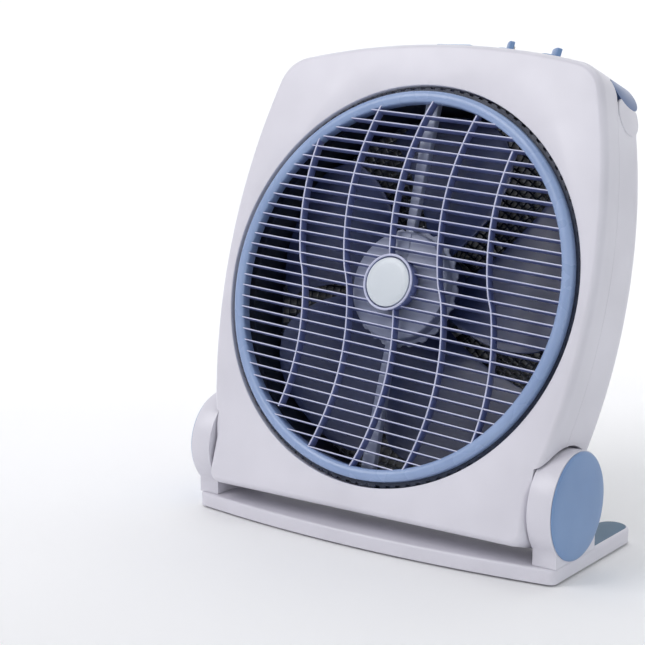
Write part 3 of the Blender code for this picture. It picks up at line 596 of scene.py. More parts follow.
def round_lobes(piece, low, front, rear):
    """Round the lower corners of the shoulder lobes: long and flat in front, tight behind."""
    turns = [math.pi / 2 * i / 12 for i in range(13)]
    under = low - 0.002
    for level, wide, tall in ((front, 0.0300, 0.0150), (rear, -0.0110, 0.0110)):
        beyond = level - wide * 0.1
        corner = [(level + wide * (1 - math.cos(t)), low + tall * (1 - math.sin(t))) for t in turns]
        corner += [(level + wide, under), (beyond, under), (beyond, low + tall)]
        cut(piece, plate("corner", corner, -0.3, 0.6, "X"))
    return piece


# %% The handle
HANDLE_REAR = 0.0812
TONGUE_X = (0.1786, 0.1808)
TONGUE_Y = (0.0450, 0.0630)
TONGUE_LOW = 0.1660


def tongues(clear, low, high):
    """The left and the right tongue, or their slots if there is a clearance."""
    spans = [(side * (TONGUE_X[0] - clear), side * (TONGUE_X[1] + clear)) for side in (-1, 1)]
    return [block("tongue", (min(span), TONGUE_Y[0] - clear, low), (max(span), TONGUE_Y[1] + clear, high))
            for span in spans]


handle = bail("carry_handle", 0.0003, HANDLE_THICK, HANDLE_LOW, HANDLE_REAR, 0.0)
round_lobes(handle, HANDLE_LOW, LOBE_Y, HANDLE_REAR)
bevel(handle, 0.0018, 3)
join(handle, *tongues(0.0, TONGUE_LOW, HANDLE_LOW + 0.0060))
hand_over(handle, abs_blue_painted_shade, "carry_handle", ["handle"])

# %% [markdown]
# ## The rear shell
# The rear shell is deeper and rounder. Its lower rear edge is cut away so that the body can lean back
# without touching the stand: the bisect tool makes that cut in one stroke. The air duct, a tube round the
# blades, is turned on its own, given the guard's dark finish, and sits in the rear opening.

# %% Rear shell
REAR = 0.0820
REAR_FOLD = 0.0160
DUCT_R, DUCT_FRONT_R = 0.1860, 0.1944
SCREW_PLACES = ((0.150, 0, 0.165), (-0.150, 0, 0.165), (0.150, 0, -0.150), (-0.150, 0, -0.150))
INLET_PLACE = (0.150, 0, -0.176)
rear_rim = facing((0, 1, 0), REAR - REAR_FOLD, 1)

rear_shell = form("rear_shell_skin", 0.0, SEAM + SEAM_GAP, REAR - REAR_FOLD)
fold(rear_shell, rear_rim, REAR_FOLD * 0.7, REAR_FOLD)
hollow = form("hollow", WALL, 0.0100, REAR - REAR_FOLD)
fold(hollow, rear_rim, REAR_FOLD * 0.7 - WALL, REAR_FOLD - WALL, 5)


def slope_off(piece, up):
    """Cut away the lower rear edge along a slanted plane."""
    only(piece)
    bpy.ops.object.mode_set(mode="EDIT")
    bpy.ops.mesh.select_all(action="SELECT")
    bpy.ops.mesh.bisect(plane_co=(0, 0.0450, BOTTOM + up), plane_no=(0, 0.357, -0.934),
                        use_fill=True, clear_outer=True)
    clear()
    return piece


slope_off(rear_shell, 0.0)
slope_off(hollow, WALL)
cut(rear_shell, *notches(0.0), bail("step", PAST, STEP_DEEP, STEP_LOW, 0.100, CLEAR))
cut(hollow, *notches(WALL), bail("step", PAST, STEP_DEEP + WALL, STEP_LOW - WALL, 0.100, CLEAR + WALL))
cut(rear_shell, hollow)
cut(rear_shell, drum("rear_opening", DUCT_R + 0.0026, 0.0600, 0.1000, 160), panel_window())
cut(rear_shell, drum("inlet", 0.0066, 0.0700, 0.0900, 32, "Y", INLET_PLACE))
cut(rear_shell, *tongues(CLEAR / 2, 0.1700, 0.1820))
for place in SCREW_PLACES:
    cut(rear_shell, drum("screw_hole", 0.0046, 0.0795, 0.0900, 24, "Y", place))
hand_over(rear_shell, abs_white, "fan_body", ["rear_shell"])
duct = lathe("air_duct", [
    (DUCT_R, 0.0290), (DUCT_R + 0.0006, 0.0282), (DUCT_FRONT_R, 0.0278), (DUCT_FRONT_R, 0.0294),
    (DUCT_R + 0.0024, 0.0298), (DUCT_R + 0.0024, REAR), (DUCT_R, REAR)], 160, close=True)
hand_over(duct, pp_guard, "fan_body")

# %% Oval covers over the ends of the handle
GUIDE_Y, GUIDE_Z = 0.0545, 0.1840
GUIDE_HALF_Y, GUIDE_HALF_Z = 0.0215, 0.0180
for side, word in ((-1, "left"), (1, "right")):
    lean = math.asin((GUIDE_Z - SIDE_C.y) / SIDE_R)
    wall_x = SIDE_C.x + SIDE_R * math.cos(lean)
    cover = drum(f"handle_guide_{word}_cover", GUIDE_HALF_Z, -0.0024, 0.0007, 64, "X")
    only(cover)
    bpy.ops.transform.resize(value=(1, GUIDE_HALF_Y / GUIDE_HALF_Z, 1))
    bpy.ops.object.transform_apply(location=False, rotation=False, scale=True)
    bevel(cover, 0.0009, 3)
    cover.data.transform(Matrix.Translation((wall_x, GUIDE_Y, GUIDE_Z)) @ Matrix.Rotation(-lean, 4, "Y"))
    nest = bail("nest", PAST, HANDLE_THICK + 0.001, HANDLE_LOW - CLEAR, HANDLE_REAR + CLEAR, CLEAR)
    cut(cover, round_lobes(nest, HANDLE_LOW - CLEAR, LOBE_Y - CLEAR, HANDLE_REAR + CLEAR))
    mirrored(cover, side)
    hand_over(cover, abs_white, "fan_body", [f"handle_guide_{word}"])

# %% [markdown]
# ## The louvre grille
# The grille turns slowly and sweeps the air round. A rolled ring carries straight slats, each a thin blade
# that stands deep into the air, and five S-shaped ribs that keep them apart. One function makes a slat as
# long as the ring is wide at its height, and another makes a rib. Behind the ring, a dark flange with
# notches fills the gap to the shell as a painted shadow line: many small blocks, joined to one cutter, notch
# it in a single cut.

# %% Ring of the grille
RING_IN, RING_OUT = 0.1775, 0.1890
ARCH = 0.0040                    # height of the ring's rolled front
FLANGE_R, FLANGE_NOTCHES = 0.1938, 108
SLAT_PITCH, SLAT_LIFT = 0.0108, 0.0018
SLAT_FRONT, SLAT_REAR = -0.0030, 0.0064
SLAT_DROP = 0.0013               # how far a slat's rear edge lies below its front edge
RIB_PITCH = 0.0547
RIB_SWING = 0.0187


def rounded_rim(inner, outer, front, rear, steps=12):
    """A ring's section: an arch in front, straight walls behind."""
    half = (outer - inner) / 2
    turns = [math.pi * i / steps for i in range(steps + 1)]
    arch = [(inner + half - half * math.cos(t), front + ARCH - ARCH * math.sin(t)) for t in turns]
    return arch + [(outer, rear), (inner, rear)]


ring = lathe("louvre_ring", rounded_rim(RING_IN, RING_OUT, -0.0046, 0.0080), 192, close=True)
flange = lathe("louvre_flange", [(RING_OUT + 0.0001, 0.0046), (FLANGE_R, 0.0046), (FLANGE_R, 0.0062),
                                 (RING_OUT + 0.0001, 0.0062)], 216, close=True)
flange_notches = []
for index in range(FLANGE_NOTCHES):
    notch = block("notch", (FLANGE_R - 0.0018, 0.0040, -0.0024), (FLANGE_R + 0.0010, 0.0070, 0.0024))
    flange_notches.append(turned(notch, index, FLANGE_NOTCHES))
cut(flange, joined("notches", flange_notches))
hand_over(ring, abs_ring, "grille", ["louvre_grille"], LOUVRE)
hand_over(flange, pp_rim_painted_shadow, "grille", (), LOUVRE)

# %% Slats
def paint_face_shade(piece, level):
    """Give the faces behind a depth the darker copy of the resin: painted shade."""
    piece.data.materials.append(slat_painted_shade)
    back = LOUVRE.inverted()
    for face in piece.data.polygons:
        face.material_index = int((back @ face.center).y > level)


def slat(name, height):
    """One slat with a rounded front edge, slanted so that it turns the air aside."""
    half = math.sqrt(RING_IN ** 2 - height ** 2) + 0.0028
    made = block(name, (-half, SLAT_FRONT, height - 0.0006), (half, SLAT_REAR, height + 0.0006))
    pick(made, "EDGE", lambda edge: middle(edge).y < SLAT_FRONT + 0.0001
         and abs(middle(edge).x) < 0.0001)
    bpy.ops.mesh.bevel(offset=0.0004, segments=2)
    pick(made, "VERT", lambda vertex: vertex.co.y > SLAT_REAR - 0.0001)
    bpy.ops.transform.translate(value=(0, 0, -SLAT_DROP))
    clear()
    return made


rows = int((RING_IN - 0.004) / SLAT_PITCH)
heights = [row * SLAT_PITCH + SLAT_LIFT for row in range(-rows, rows + 1)]
slats = joined("louvre_slats", [slat("slat", height) for height in heights if abs(height) < RING_IN - 0.003])
hand_over(slats, slat_painted_lit_edge, "grille", (), LOUVRE)
# The darker copy on the faces behind the front edges is painted shade.
paint_face_shade(slats, SLAT_FRONT + 0.0005)

# %% Ribs
def rib(name, index):
    """An S-shaped rib: a thin plate, cut into short lengths whose ends are then moved sideways."""
    end = math.sqrt(RING_IN ** 2 - (index * RIB_PITCH) ** 2) + 0.0012
    made = block(name, (-0.0008, SLAT_FRONT - 0.0004, -end), (0.0008, SLAT_REAR + 0.0004, end))
    pick(made, "EDGE", lambda edge: abs(edge.verts[0].co.z - edge.verts[1].co.z) > 0.01)
    bpy.ops.mesh.subdivide(number_cuts=47)
    clear()
    for vertex in made.data.vertices:
        wave = math.sin(math.pi * vertex.co.z / 0.183)
        vertex.co.x += index * RIB_PITCH - math.copysign(abs(wave) ** 0.8, wave) * RIB_SWING
    bevel(made, 0.0004, 2)
    return made


ribs = joined("louvre_ribs", [rib("rib", index) for index in range(-2, 3)])
hand_over(ribs, slat_painted_lit_edge, "grille", (), LOUVRE)
paint_face_shade(ribs, SLAT_FRONT + 0.0004)

# %% Hub of the grille and its cap
hub = lathe("louvre_hub", [(0.0, -0.0050), (0.0249, -0.0050), (0.0249, -0.0096), (0.0254, -0.0104),
                           (0.0262, -0.0107), (0.0270, -0.0104), (0.0274, -0.0095), (0.0271, -0.0075),
                           (0.0262, -0.0050), (0.0258, 0.0040), (0.0250, 0.0052), (0.0, 0.0058)], 96)
hand_over(hub, slat_painted_lit_edge, "grille", (), LOUVRE)
paint_face_shade(hub, -0.0088)
cap = lathe("grille_cap_disc", [(0.0, -0.0053), (0.0236, -0.0053), (0.0238, -0.0094), (0.0235, -0.0101),
                                (0.0226, -0.0106), (0.0170, -0.01105), (0.0, -0.0112)], 96)
hand_over(cap, abs_cap, "grille", ["grille_cap"], LOUVRE)

# %% [markdown]
# ## The bracket behind the grille
# Two struts, above and below, reach from the rim of the opening to a shallow cup in the middle, which holds
# the gear motor that turns the grille. Each is a block, widened at its outer end. A second disc with
# a notched edge closes the cup from behind: its outline is a circle that steps in and out.

# %% Strut, cup and notched cover
cup = lathe("grille_bracket_cup", [
    (0.0, 0.0095), (0.0500, 0.0095), (0.0520, 0.0100), (0.0530, 0.0115), (0.0530, 0.0220), (0.0505, 0.0220),
    (0.0505, 0.0125), (0.0, 0.0125)], 96)
for sign in (-1, 1):
    strut = block("strut", (-0.0045, 0.0120, 0.0500), (0.0045, 0.0200, 0.1946))
    pick(strut, "FACE", lambda face: face.normal.z > 0.99)
    bpy.ops.transform.resize(value=(1.7, 1, 1), center_override=(0, 0.016, 0.1946))
    clear()
    bevel(strut, 0.0012, 3)
    if sign < 0:
        turned(strut, 1, 2)
    near, far = sorted((sign * 0.029, sign * 0.051))
    join(cup, strut, block("rib", (-0.0050, 0.0085, near), (0.0050, 0.0100, far)))
bevel(cup, 0.0006, 2)
hand_over(cup, pp_disc, "fan_body", ["grille_bracket"])
DISC_R, NOTCH_FLOOR_R, DISC_STEPS = 0.0585, 0.0562, 144
notch_points = []
for index in range(DISC_STEPS):
    swing = 2 * math.pi * index / DISC_STEPS
    reach = DISC_R if index % 6 < 3 else NOTCH_FLOOR_R
    notch_points.append((reach * math.cos(swing), reach * math.sin(swing)))
cover = plate("grille_bracket_disc", notch_points, 0.0223, 0.0025)
bevel(cover, 0.0004, 2)
hand_over(cover, pp_disc, "fan_body", ["grille_bracket_cover"])

# %% [markdown]
# ## Blades
# Five broad blades, twisted like a propeller and swept forward. One blade starts as a flat grid. Each of
# its points is then moved to its radius, its angle and its depth, the sheet is given its thickness, its
# edges are rounded, and four turned copies join it.

# %% One blade
HUB_R, TIP_R = 0.0450, 0.1770
BLADES = 5


def blade_sheet(name):
    """A flat grid whose points are moved to their radius, angle and depth on the blade."""
    clear()
    bpy.ops.mesh.primitive_grid_add(x_subdivisions=22, y_subdivisions=18, size=2)
    made = ready(name)
    for vertex in made.data.vertices:
        along, across = (vertex.co.x + 1) / 2, vertex.co.y
        corner = 1 - 0.10 * max(0.0, along - 0.80) / 0.20 * across ** 4
        reach = HUB_R - 0.0014 + (TIP_R - HUB_R + 0.0014) * along * corner
        sweep = math.radians(16.0) * along ** 1.5
        half = math.radians(27.0 + 3.0 * math.sin(math.pi * along))
        swing = sweep + half * across
        depth = 0.0500 + (0.0155 - 0.0040 * along) * across + 0.0030 * (1 - across ** 2)
        vertex.co = (reach * math.cos(swing), depth, reach * math.sin(swing))
    return made


blades = []
for index in range(BLADES):
    sheet = blade_sheet(f"blade_{index}")
    modify(sheet, "SOLIDIFY", thickness=0.0020, offset=0)
    bevel(sheet, 0.0006, 2)
    blades.append(turned(sheet, -index, BLADES))
rotor = lathe("blade_rotor", [
    (0.0043, 0.0362), (0.0380, 0.0362), (0.0412, 0.0364), (0.0436, 0.0374), (0.0448, 0.0394),
    (HUB_R, 0.0420), (HUB_R, 0.0650), (0.0426, 0.0650), (0.0426, 0.0400), (0.0400, 0.0388),
    (0.0090, 0.0388), (0.0090, 0.0600), (0.0043, 0.0600)], 96, close=True)
join(rotor, *blades)
hand_over(rotor, as_blade, "rotor", ["fan_rotor"])
nut = lathe("blade_nut_knob", [(0.0, 0.0275), (0.0090, 0.0275), (0.0104, 0.0280), (0.0110, 0.0292),
                               (0.0110, 0.0358), (0.0, 0.0358)], 60)
for index in range(12):
    swing = 2 * math.pi * index / 12
    at = (0.0114 * math.cos(swing), 0, 0.0114 * math.sin(swing))
    cut(nut, drum("groove", 0.0011, 0.0270, 0.0350, 12, "Y", at))
hand_over(nut, nylon_black, "rotor", ["blade_nut"])

# %% [markdown]
# ## The motor
# Two pressed cups with slots for cooling air hold the stator. It stands behind the blades, seen from behind
# through the guard.

# %% Motor cups
front_cup = lathe("motor_cup_front", [
    (0.0093, 0.0660), (0.0120, 0.0660), (0.0124, 0.0700), (0.0380, 0.0700), (0.0410, 0.0707),
    (0.0420, 0.0730), (0.0420, 0.0828), (0.0397, 0.0828), (0.0397, 0.0728), (0.0093, 0.0725)], 72, close=True)
rear_cup = lathe("motor_cup_rear", [
    (0.0397, 0.0831), (0.0420, 0.0831), (0.0420, 0.0950), (0.0412, 0.0970), (0.0390, 0.0978),
    (0.0093, 0.0978), (0.0093, 0.0915), (0.0120, 0.0915), (0.0124, 0.0953), (0.0397, 0.0953)], 72, close=True)
AIR_SLOTS = 10
for index in range(AIR_SLOTS):
    slot_tool = block("slot", (0.0200, 0.0900, -0.0022), (0.0350, 0.1000, 0.0022))
    cut(rear_cup, turned(slot_tool, index, AIR_SLOTS))
bevel(rear_cup, 0.0005, 2)
hand_over(front_cup, zinc, "fan_body", ["motor_front_bell"])
hand_over(rear_cup, zinc, "fan_body", ["motor_rear_bell"])

# %% [markdown]
# ## The rear guard
# A net of rings and bars closes the rear opening, so tight that no finger passes, and bulges outwards over
# the motor. A bar is a block, cut into short lengths and bent to the dome. Sixty bars run from the middle
# to the rim, and sixty more start further out, where the gaps would grow too wide. All of them stand
# several millimetres deep, so that little light comes through them at an angle.

# %% Guard
GUARD_R = 0.1900
GUARD_BULGE = 0.0195
GUARD_DEEP = 0.0115              # how far the bars stand inwards
BARS = 60
BAR_END = 0.1835


def dome(radius):
    """Depth at which the guard sits on the shell, or bulges over the motor, at a radius."""
    return REAR + 0.0003 + GUARD_BULGE * (1 - min(radius / 0.183, 1.0) ** 2)


def guard_ring(name, radius, wide, thick, deep=0.0):
    near, low, high = radius - wide, dome(radius) - deep, dome(radius) + thick
    return lathe(name, [(near, low), (radius, low), (radius, high), (near, high)], 128, close=True)


def guard_bar(name, inner, index):
    made = block(name, (inner, -GUARD_DEEP, -0.0008), (BAR_END, 0.0024, 0.0008))
    pick(made, "EDGE", lambda edge: abs(edge.verts[0].co.x - edge.verts[1].co.x) > 0.01)
    bpy.ops.mesh.subdivide(number_cuts=5)
    clear()
    for vertex in made.data.vertices:
        vertex.co.y += dome(vertex.co.x)
    return turned(made, index, BARS)


net = [guard_ring("guard_ring", 0.0540 + 0.0080 * index, 0.0016, 0.0020, GUARD_DEEP) for index in range(17)]
net.append(guard_ring("guard_rim", GUARD_R, 0.0075, 0.0028))
net += [guard_bar("guard_bar", 0.0440, index) for index in range(BARS)]
net += [guard_bar("guard_fine_bar", 0.0860, index + 0.5) for index in range(BARS)]
net.append(lathe("guard_disc", [(0.0, 0.1013), (0.0300, 0.1008), (0.0440, 0.1001), (0.0462, 0.1004),
                                (0.0462, 0.1030), (0.0440, 0.1036), (0.0, 0.1036)], 96))
guard = joined("rear_guard_net", net)
hand_over(guard, pp_guard, "fan_body", ["rear_guard"])

# %% [markdown]
# ## The controls
# The cream panel is a strip of the arched top: the ring between two outlines, cut to the panel's size.
# Each control has axes of its own on it. The panel is read from behind the fan, so a label's right is the
# fan's left and its top points to the front.

# %% The panel
CONTROL_Y = 0.0330
SPEED_X, TIMER_X, BUTTON_X = 0.1130, 0.0640, 0.0115


def on_top(x, y, lift=0.0):
    """Axes on the arched top: z out of it, x along it."""
    return Matrix.Translation((x, y, top_of(x, -lift))) @ Matrix.Rotation(math.asin(x / TOP_R), 4, "Y")


def button_outline(inset):
    """A D: hollow on the left, straight top and bottom, and bulging on the right."""
    wide, tall = 0.0215 - inset, 0.0165 - inset
    points = [(wide - 0.0100 + 0.0100 * math.cos(t), tall / 0.90631 * math.sin(t))
              for t in [math.radians(-65 + 130 * i / 24) for i in range(25)]]
    return points + [(-wide + 0.0030 * (1 - s * s), tall * s) for s in [1 - 2 * i / 24 for i in range(25)]]


panel = form("control_panel_face", -0.0006, PANEL_Y[0] + 0.0003, PANEL_Y[1] - 0.0003)
cut(panel, form("core", 0.0022, -0.01, 0.1))
common(panel, block("extent", (PANEL_X[0] + 0.0003, -0.01, 0.15), (PANEL_X[1] - 0.0003, 0.1, 0.30)))
for x in (SPEED_X, TIMER_X):
    hole = drum("hole", 0.0168, -0.0002, 0.0100, 64, "Z")
    hole.data.transform(on_top(x, CONTROL_Y))
    cut(panel, hole)
gap = plate("gap", button_outline(-0.0005), -0.01, 0.02, "Z")
gap.data.transform(on_top(BUTTON_X, CONTROL_Y))
cut(panel, gap)
bevel(panel, 0.0003, 2)
hand_over(panel, abs_cream, "fan_body", ["control_panel"])


# %% Knobs
RIDGE_REACH, RIDGE_HALF, RIDGE_BOW = 0.0150, 0.0034, 0.0016


def knob(name, body, x, setting):
    """A low drum with a dished face and a curved ridge to hold it by."""
    made = lathe(name, [(0.0, 0.0008), (0.0160, 0.0008), (0.0160, 0.0020), (0.0157, 0.0027), (0.0150, 0.0031),
                        (0.0142, 0.0031), (0.0120, 0.0024), (0.0, 0.0021)], 96, "Z")
    there = [i / 12 - 1 for i in range(25)]
    edges = []
    for stations, half in ((there, RIDGE_HALF), ([-s for s in there], -RIDGE_HALF)):
        edges += [(RIDGE_REACH * s, half * (1 - 0.25 * s * s) + RIDGE_BOW * (1 - s * s)) for s in stations]
    ridge = plate("ridge", edges, 0.0015, 0.0093, "Z")
    bevel(ridge, 0.0012, 4)
    ridge.data.transform(Matrix.Rotation(math.radians(setting), 4, "Z"))
    join(made, ridge)
    old = f"{body.split('_')[0]}_knob"
    return hand_over(made, abs_blue, body, [old], BODY @ on_top(x, CONTROL_Y))


knob("speed_knob_cap", "speed_control", SPEED_X, 126)
knob("timer_knob_cap", "timer_control", TIMER_X, 119)

# %% The button
button_axes = BODY @ on_top(BUTTON_X, CONTROL_Y)
button = plate("swing_button_cap", button_outline(0.0), -0.0040, 0.0064, "Z")
fold(button, facing((0, 0, 1), 0.0024, 2), 0.0014, 0.0010, 5)
hand_over(button, abs_blue, "button", ["swing_button"], button_axes)


# %% [markdown]
# ## The print on the panel
# Marks are pad-printed, a layer of ink too thin to measure. They are made as solids a tenth of
# a millimetre proud. Words are left out: the dials carry numbers and dots only.

# %% Numbers, dots and the timer's arc
INK = 0.00012
MARK = 0.0008


def printed(artwork, x, y):
    """Lay flat artwork on the panel at x, y, its top towards the front."""
    artwork.data.transform(on_top(x, y, 0.0006) @ Matrix.Rotation(math.pi, 4, "Z"))
    return artwork


def number(text, x, y):
    """A number as a solid, from Blender's own plain font."""
    clear()
    bpy.ops.object.text_add()
    made = bpy.context.active_object
    made.data.body = text
    made.data.size = 0.0042
    made.data.align_x = "CENTER"
    made.data.align_y = "CENTER"
    made.data.extrude = INK
    bpy.ops.object.convert(target="MESH")
    return printed(made, x, y)


def dot(radius, x, y):
    return printed(drum("dot", radius, -INK, INK, 24, "Z"), x, y)


def round_knob(centre, turn, wide, tall):
    """Where a mark stands round a knob, at an angle in degrees as the panel is read."""
    swing = math.radians(turn)
    return centre - wide * math.cos(swing), CONTROL_Y - tall * math.sin(swing)


marks = []
for text, turn in (("0", 268), ("1", 168), ("2", 62), ("3", 118)):
    marks.append(number(text, *round_knob(SPEED_X, turn, 0.0205, 0.0205)))
for text, turn in (("60", 68), ("40", 28)):
    marks.append(number(text, *round_knob(TIMER_X, turn, 0.0232, 0.0218)))
for radius, turns in ((MARK, (62, 33)), (0.00028, range(6, 66, 3))):
    marks += [dot(radius, *round_knob(TIMER_X, turn, 0.0192, 0.0192)) for turn in turns]
for step in (-1, 0, 1):
    marks.append(dot(MARK, BUTTON_X + step * 0.0145, CONTROL_Y + 0.0203))
hand_over(joined("panel_print", marks), ink, "fan_body")

# %% [markdown]
# ## The stand
# The stand has a U-shaped base with a bowed front, two pillars with round heads, and a blue cap on each
# head. These pieces stand straight, so they are made in the world's own axes.

# %% Base
BASE_TOP, BASE_UNDER = 0.0160, 0.0022
base_low, base_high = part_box("base")
HALF = base_high.x + 0.0008
BOW = 0.0175
FOOT_IN = 0.1720
FOOT_R = (HALF - FOOT_IN) / 2
foot_end = base_high.y - FOOT_R
BAR_REAR = -0.0118
RIM = 0.0026                     # height of the rounded upper rim
half = [(x, base_low.y + BOW * (x / HALF) ** 2) for x in [HALF * 0.970 * i / 16 for i in range(17)]]
edge_y = half[-1][1]
half += arc(Vector((HALF - 0.0060, edge_y + 0.0064)), 0.0060, math.radians(-72), 0, 6)
half += arc(Vector(((FOOT_IN + HALF) / 2, foot_end)), FOOT_R, 0, math.pi, 20)
half += arc(Vector((FOOT_IN - 0.012, BAR_REAR + 0.012)), 0.012, 0, -math.pi / 2, 8)
half.append((0.0, BAR_REAR))
whole = half + [(-x, y) for x, y in reversed(half[1:-1])]
base = plate("stand_base", whole, BASE_UNDER, BASE_TOP - BASE_UNDER - RIM, "Z")
fold(base, facing((0, 0, 1), BASE_TOP - RIM, 2), 0.0024, RIM, 6)
fold(base, facing((0, 0, -1), BASE_UNDER, 2), 0.0010, 0.0, 2)
hand_over(base, abs_white, "stand", ["base"], WORLD)

# %% Foot tops in painted shade, and rubber pads
INLAY_R = 0.003
for side, word in ((-1, "left"), (1, "right")):
    inlay_low, inlay_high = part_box(f"foot_inlay_{word}")
    mid_x = side * (FOOT_IN + HALF) / 2
    reach = (inlay_high.x - inlay_low.x) / 2
    end = inlay_high.y - reach
    shape = arc(Vector((mid_x, end)), reach, 0, math.pi, 20)
    for way, start in ((-1, math.pi), (1, 1.5 * math.pi)):
        corner = Vector((mid_x + way * (reach - INLAY_R), inlay_low.y + INLAY_R))
        shape += arc(corner, INLAY_R, start, start + math.pi / 2, 5)
    # The blue-grey plate on each foot is painted shade: the body's shadow over the foot.
    inlay = plate(f"foot_inlay_{word}_painted_shade", shape, BASE_TOP - 0.0010, 0.0009, "Z")
    fold(inlay, facing((0, 0, 1), BASE_TOP - 0.0001, 2), 0.0008, 0.0005, 3)
    hand_over(inlay, foot_top_painted_shade, "stand", [f"foot_inlay_{word}"], WORLD)
    for end_word in ("front", "rear"):
        name = f"rubber_foot_{end_word}_{word}"
        pad_low, pad_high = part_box(name)
        centre = (pad_low + pad_high) / 2
        pad = lathe(f"{name}_pad", [
            (0.0, 0.0), (0.0062, 0.0), (0.0068, 0.0002), (0.0072, 0.0007), (0.0078, 0.0019), (0.0, 0.0019)],
            48, "Z", (centre.x, centre.y, 0))
        hand_over(pad, rubber_pad, "stand", [name], WORLD)


# %% Pillars and caps
PILLAR_IN, PILLAR_OUT = 0.1825, 0.2058
PILLAR_R, COLUMN_HALF, CAP_R = 0.0506, 0.0375, 0.0475
at = (0, PIVOT.y, PIVOT.z)
for side, word in ((-1, "left"), (1, "right")):
    pillar = drum(f"pillar_{word}_upright", PILLAR_R, PILLAR_IN, PILLAR_OUT, 128, "X", at)
    join(pillar, block("column", (PILLAR_IN, PIVOT.y - COLUMN_HALF, BASE_TOP + 0.0003),
                       (PILLAR_OUT, PIVOT.y + COLUMN_HALF, PIVOT.z)))
    for face_x, width, segments in ((PILLAR_OUT, 0.0014, 4), (PILLAR_IN, 0.0008, 2)):
        bevel(pillar, width, segments, lambda edge: all(abs(v.co.x - face_x) < 0.0001 for v in edge.verts)
              and middle(edge).z > BASE_TOP + 0.001)
    cut(pillar, drum("cap_seat", CAP_R + 0.0003, 0.2000, 0.2200, 128, "X", at))
    for radius, low in ((0.0100, 0.1930), (0.0052, 0.1700)):
        cut(pillar, drum("bore", radius, low, 0.2100, 32, "X", at))
    hand_over(mirrored(pillar, side), abs_white, "stand", [f"pillar_{word}"], WORLD)
    pivot_cap = lathe(f"pivot_cap_{word}_disc", [
        (0.0, 0.2003), (CAP_R, 0.2003), (CAP_R, 0.2060), (0.0497, 0.2060), (0.0498, 0.2066),
        (0.0495, 0.2072), (0.0488, 0.2077), (0.0470, 0.2081), (0.0380, 0.2086), (0.0220, 0.20895),
        (0.0, 0.2090)], 128, "X", at)
    hand_over(mirrored(pivot_cap, side), abs_blue, "stand", [f"pivot_cap_{word}"], WORLD, 40)

# %% [markdown]
# ## Screws and the cord inlet
# Small things at the back: four pan-head screws with a cross recess, and a round inlet for the cord.

# %% Screws and inlet
for count, place in enumerate(SCREW_PLACES, 1):
    screw = lathe(f"case_screw_{count}_head", [
        (0.0, 0.0600), (0.0016, 0.0600), (0.0018, 0.0800), (0.0040, 0.0800), (0.0040, 0.0826),
        (0.0036, 0.0836), (0.0026, 0.0842), (0.0, 0.0844)], 40, "Y", place)
    for wide, tall in ((0.0022, 0.00045), (0.00045, 0.0022)):
        low, high = Vector((-wide, 0.0828, -tall)), Vector((wide, 0.0860, tall))
        cut(screw, block("cross", Vector(place) + low, Vector(place) + high))
    hand_over(screw, zinc, "fan_body", [f"case_screw_{count}"])
gland = lathe("cord_gland_collar", [
    (0.0034, 0.0710), (0.0062, 0.0710), (0.0062, 0.0823), (0.0086, 0.0823), (0.0090, 0.0828),
    (0.0088, 0.0838), (0.0080, 0.0848), (0.0040, 0.0848), (0.0034, 0.0842)], 48, "Y", INLET_PLACE, close=True)
hand_over(gland, nylon_black, "fan_body", ["cord_gland"])

# %% [markdown]
# ## Pieces that stay as the frame has them
# Bolts, bearings, shafts, switches and the parts inside the motor have the right shape already. They keep
# their meshes and get a real finish.

# %% Finishes for what stays
KEPT = {
    zinc: ["pivot_bolt_left", "pivot_bolt_right", "pivot_nut_left", "pivot_nut_right", "grille_gear_motor"],
    ground_steel: ["grille_shaft", "motor_shaft", "motor_bearing_front", "motor_bearing_rear"],
    laminated: ["motor_rotor"],
    copper: ["motor_stator"],
    nylon_black: ["control_box", "speed_switch", "swing_switch"],
    nylon_pale: ["speed_shaft", "timer_shaft", "timer_unit", "motor_capacitor", "terminal_block",
                 "friction_washer_left", "friction_washer_right"],
}
for finish, names in KEPT.items():
    for name in names:
        slots = frame["nodes"][name].data.materials
        slots.clear()
        slots.append(finish)
print("kept:", sum(len(names) for names in KEPT.values()))

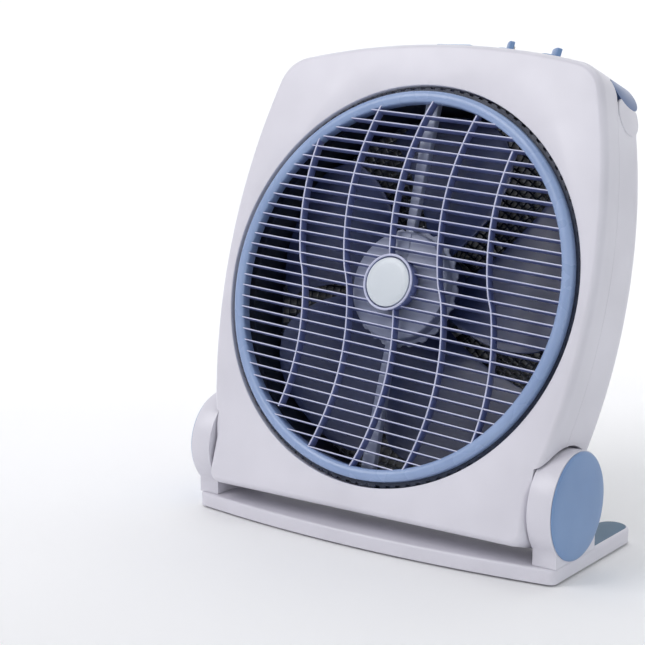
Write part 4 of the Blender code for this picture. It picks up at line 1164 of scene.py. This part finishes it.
# %% [markdown]
# ## A plain studio
# A round pale floor whose rim curves up all the way round, so that every view has the same plain
# background. A large soft light stands at the front left and above, a weak one at the right, one overhead,
# and one brightens the backdrop, so that the shells read as white and still show their folds.

# %% Floor and backdrop
floor = lathe("studio_floor", [
    (0.0, 0.0), (2.40, 0.0), (2.70, 0.04), (2.92, 0.16), (3.06, 0.36), (3.12, 0.62), (3.14, 1.00),
    (3.14, 3.00)], 96, "Z")
floor.data.flip_normals()
paper, tree, shader, place = started("studio_paper")
tree.links.new(blended(tree, noise(tree, place, 0.5, 2.0).outputs["Fac"], "#f6f6f7", "#fafafb"),
               shader.inputs["Base Color"])
shader.inputs["Roughness"].default_value = 0.9
floor.data.materials.append(paper)
only(floor)
bpy.ops.object.shade_smooth_by_angle(angle=math.radians(40))


# %% Lights
def softbox(name, power, size, place, target, tint=(1.0, 1.0, 1.0)):
    """A rectangular light of so many watts and metres, aimed at a target."""
    clear()
    place, target = Vector(place), Vector(target)
    aim = (target - place).to_track_quat("-Z", "Y").to_euler()
    bpy.ops.object.light_add(type="AREA", location=place, rotation=aim)
    made = bpy.context.active_object
    made.name = name
    made.data.shape = "RECTANGLE"
    made.data.size, made.data.size_y = size
    made.data.energy = power
    made.data.color = tint
    return made


softbox("key_light", 25, (1.4, 1.4), (-1.2, -1.6, 2.0), opening, (1.0, 0.985, 1.0))
softbox("fill_light", 3, (1.2, 1.6), (1.9, -0.7, 0.9), opening, (0.86, 1.0, 0.93))
softbox("top_light", 7.5, (1.4, 1.4), (0.2, 0.5, 2.2), opening)
softbox("backdrop_light", 32, (3.0, 0.8), (-0.6, 0.9, 2.3), (-1.4, 2.4, 0.9))
world = bpy.data.worlds.new("studio_sky")
bpy.context.scene.world = world
world.use_nodes = True
world.node_tree.nodes["Background"].inputs["Color"].default_value = linear("#f4f6fa")
world.node_tree.nodes["Background"].inputs["Strength"].default_value = 0.40
bpy.context.scene.view_settings.view_transform = "Standard"

# %% [markdown]
# ## The end
# Nothing is left selected. The finished model has to stay within the box of the working model.

# %% The end
clear()
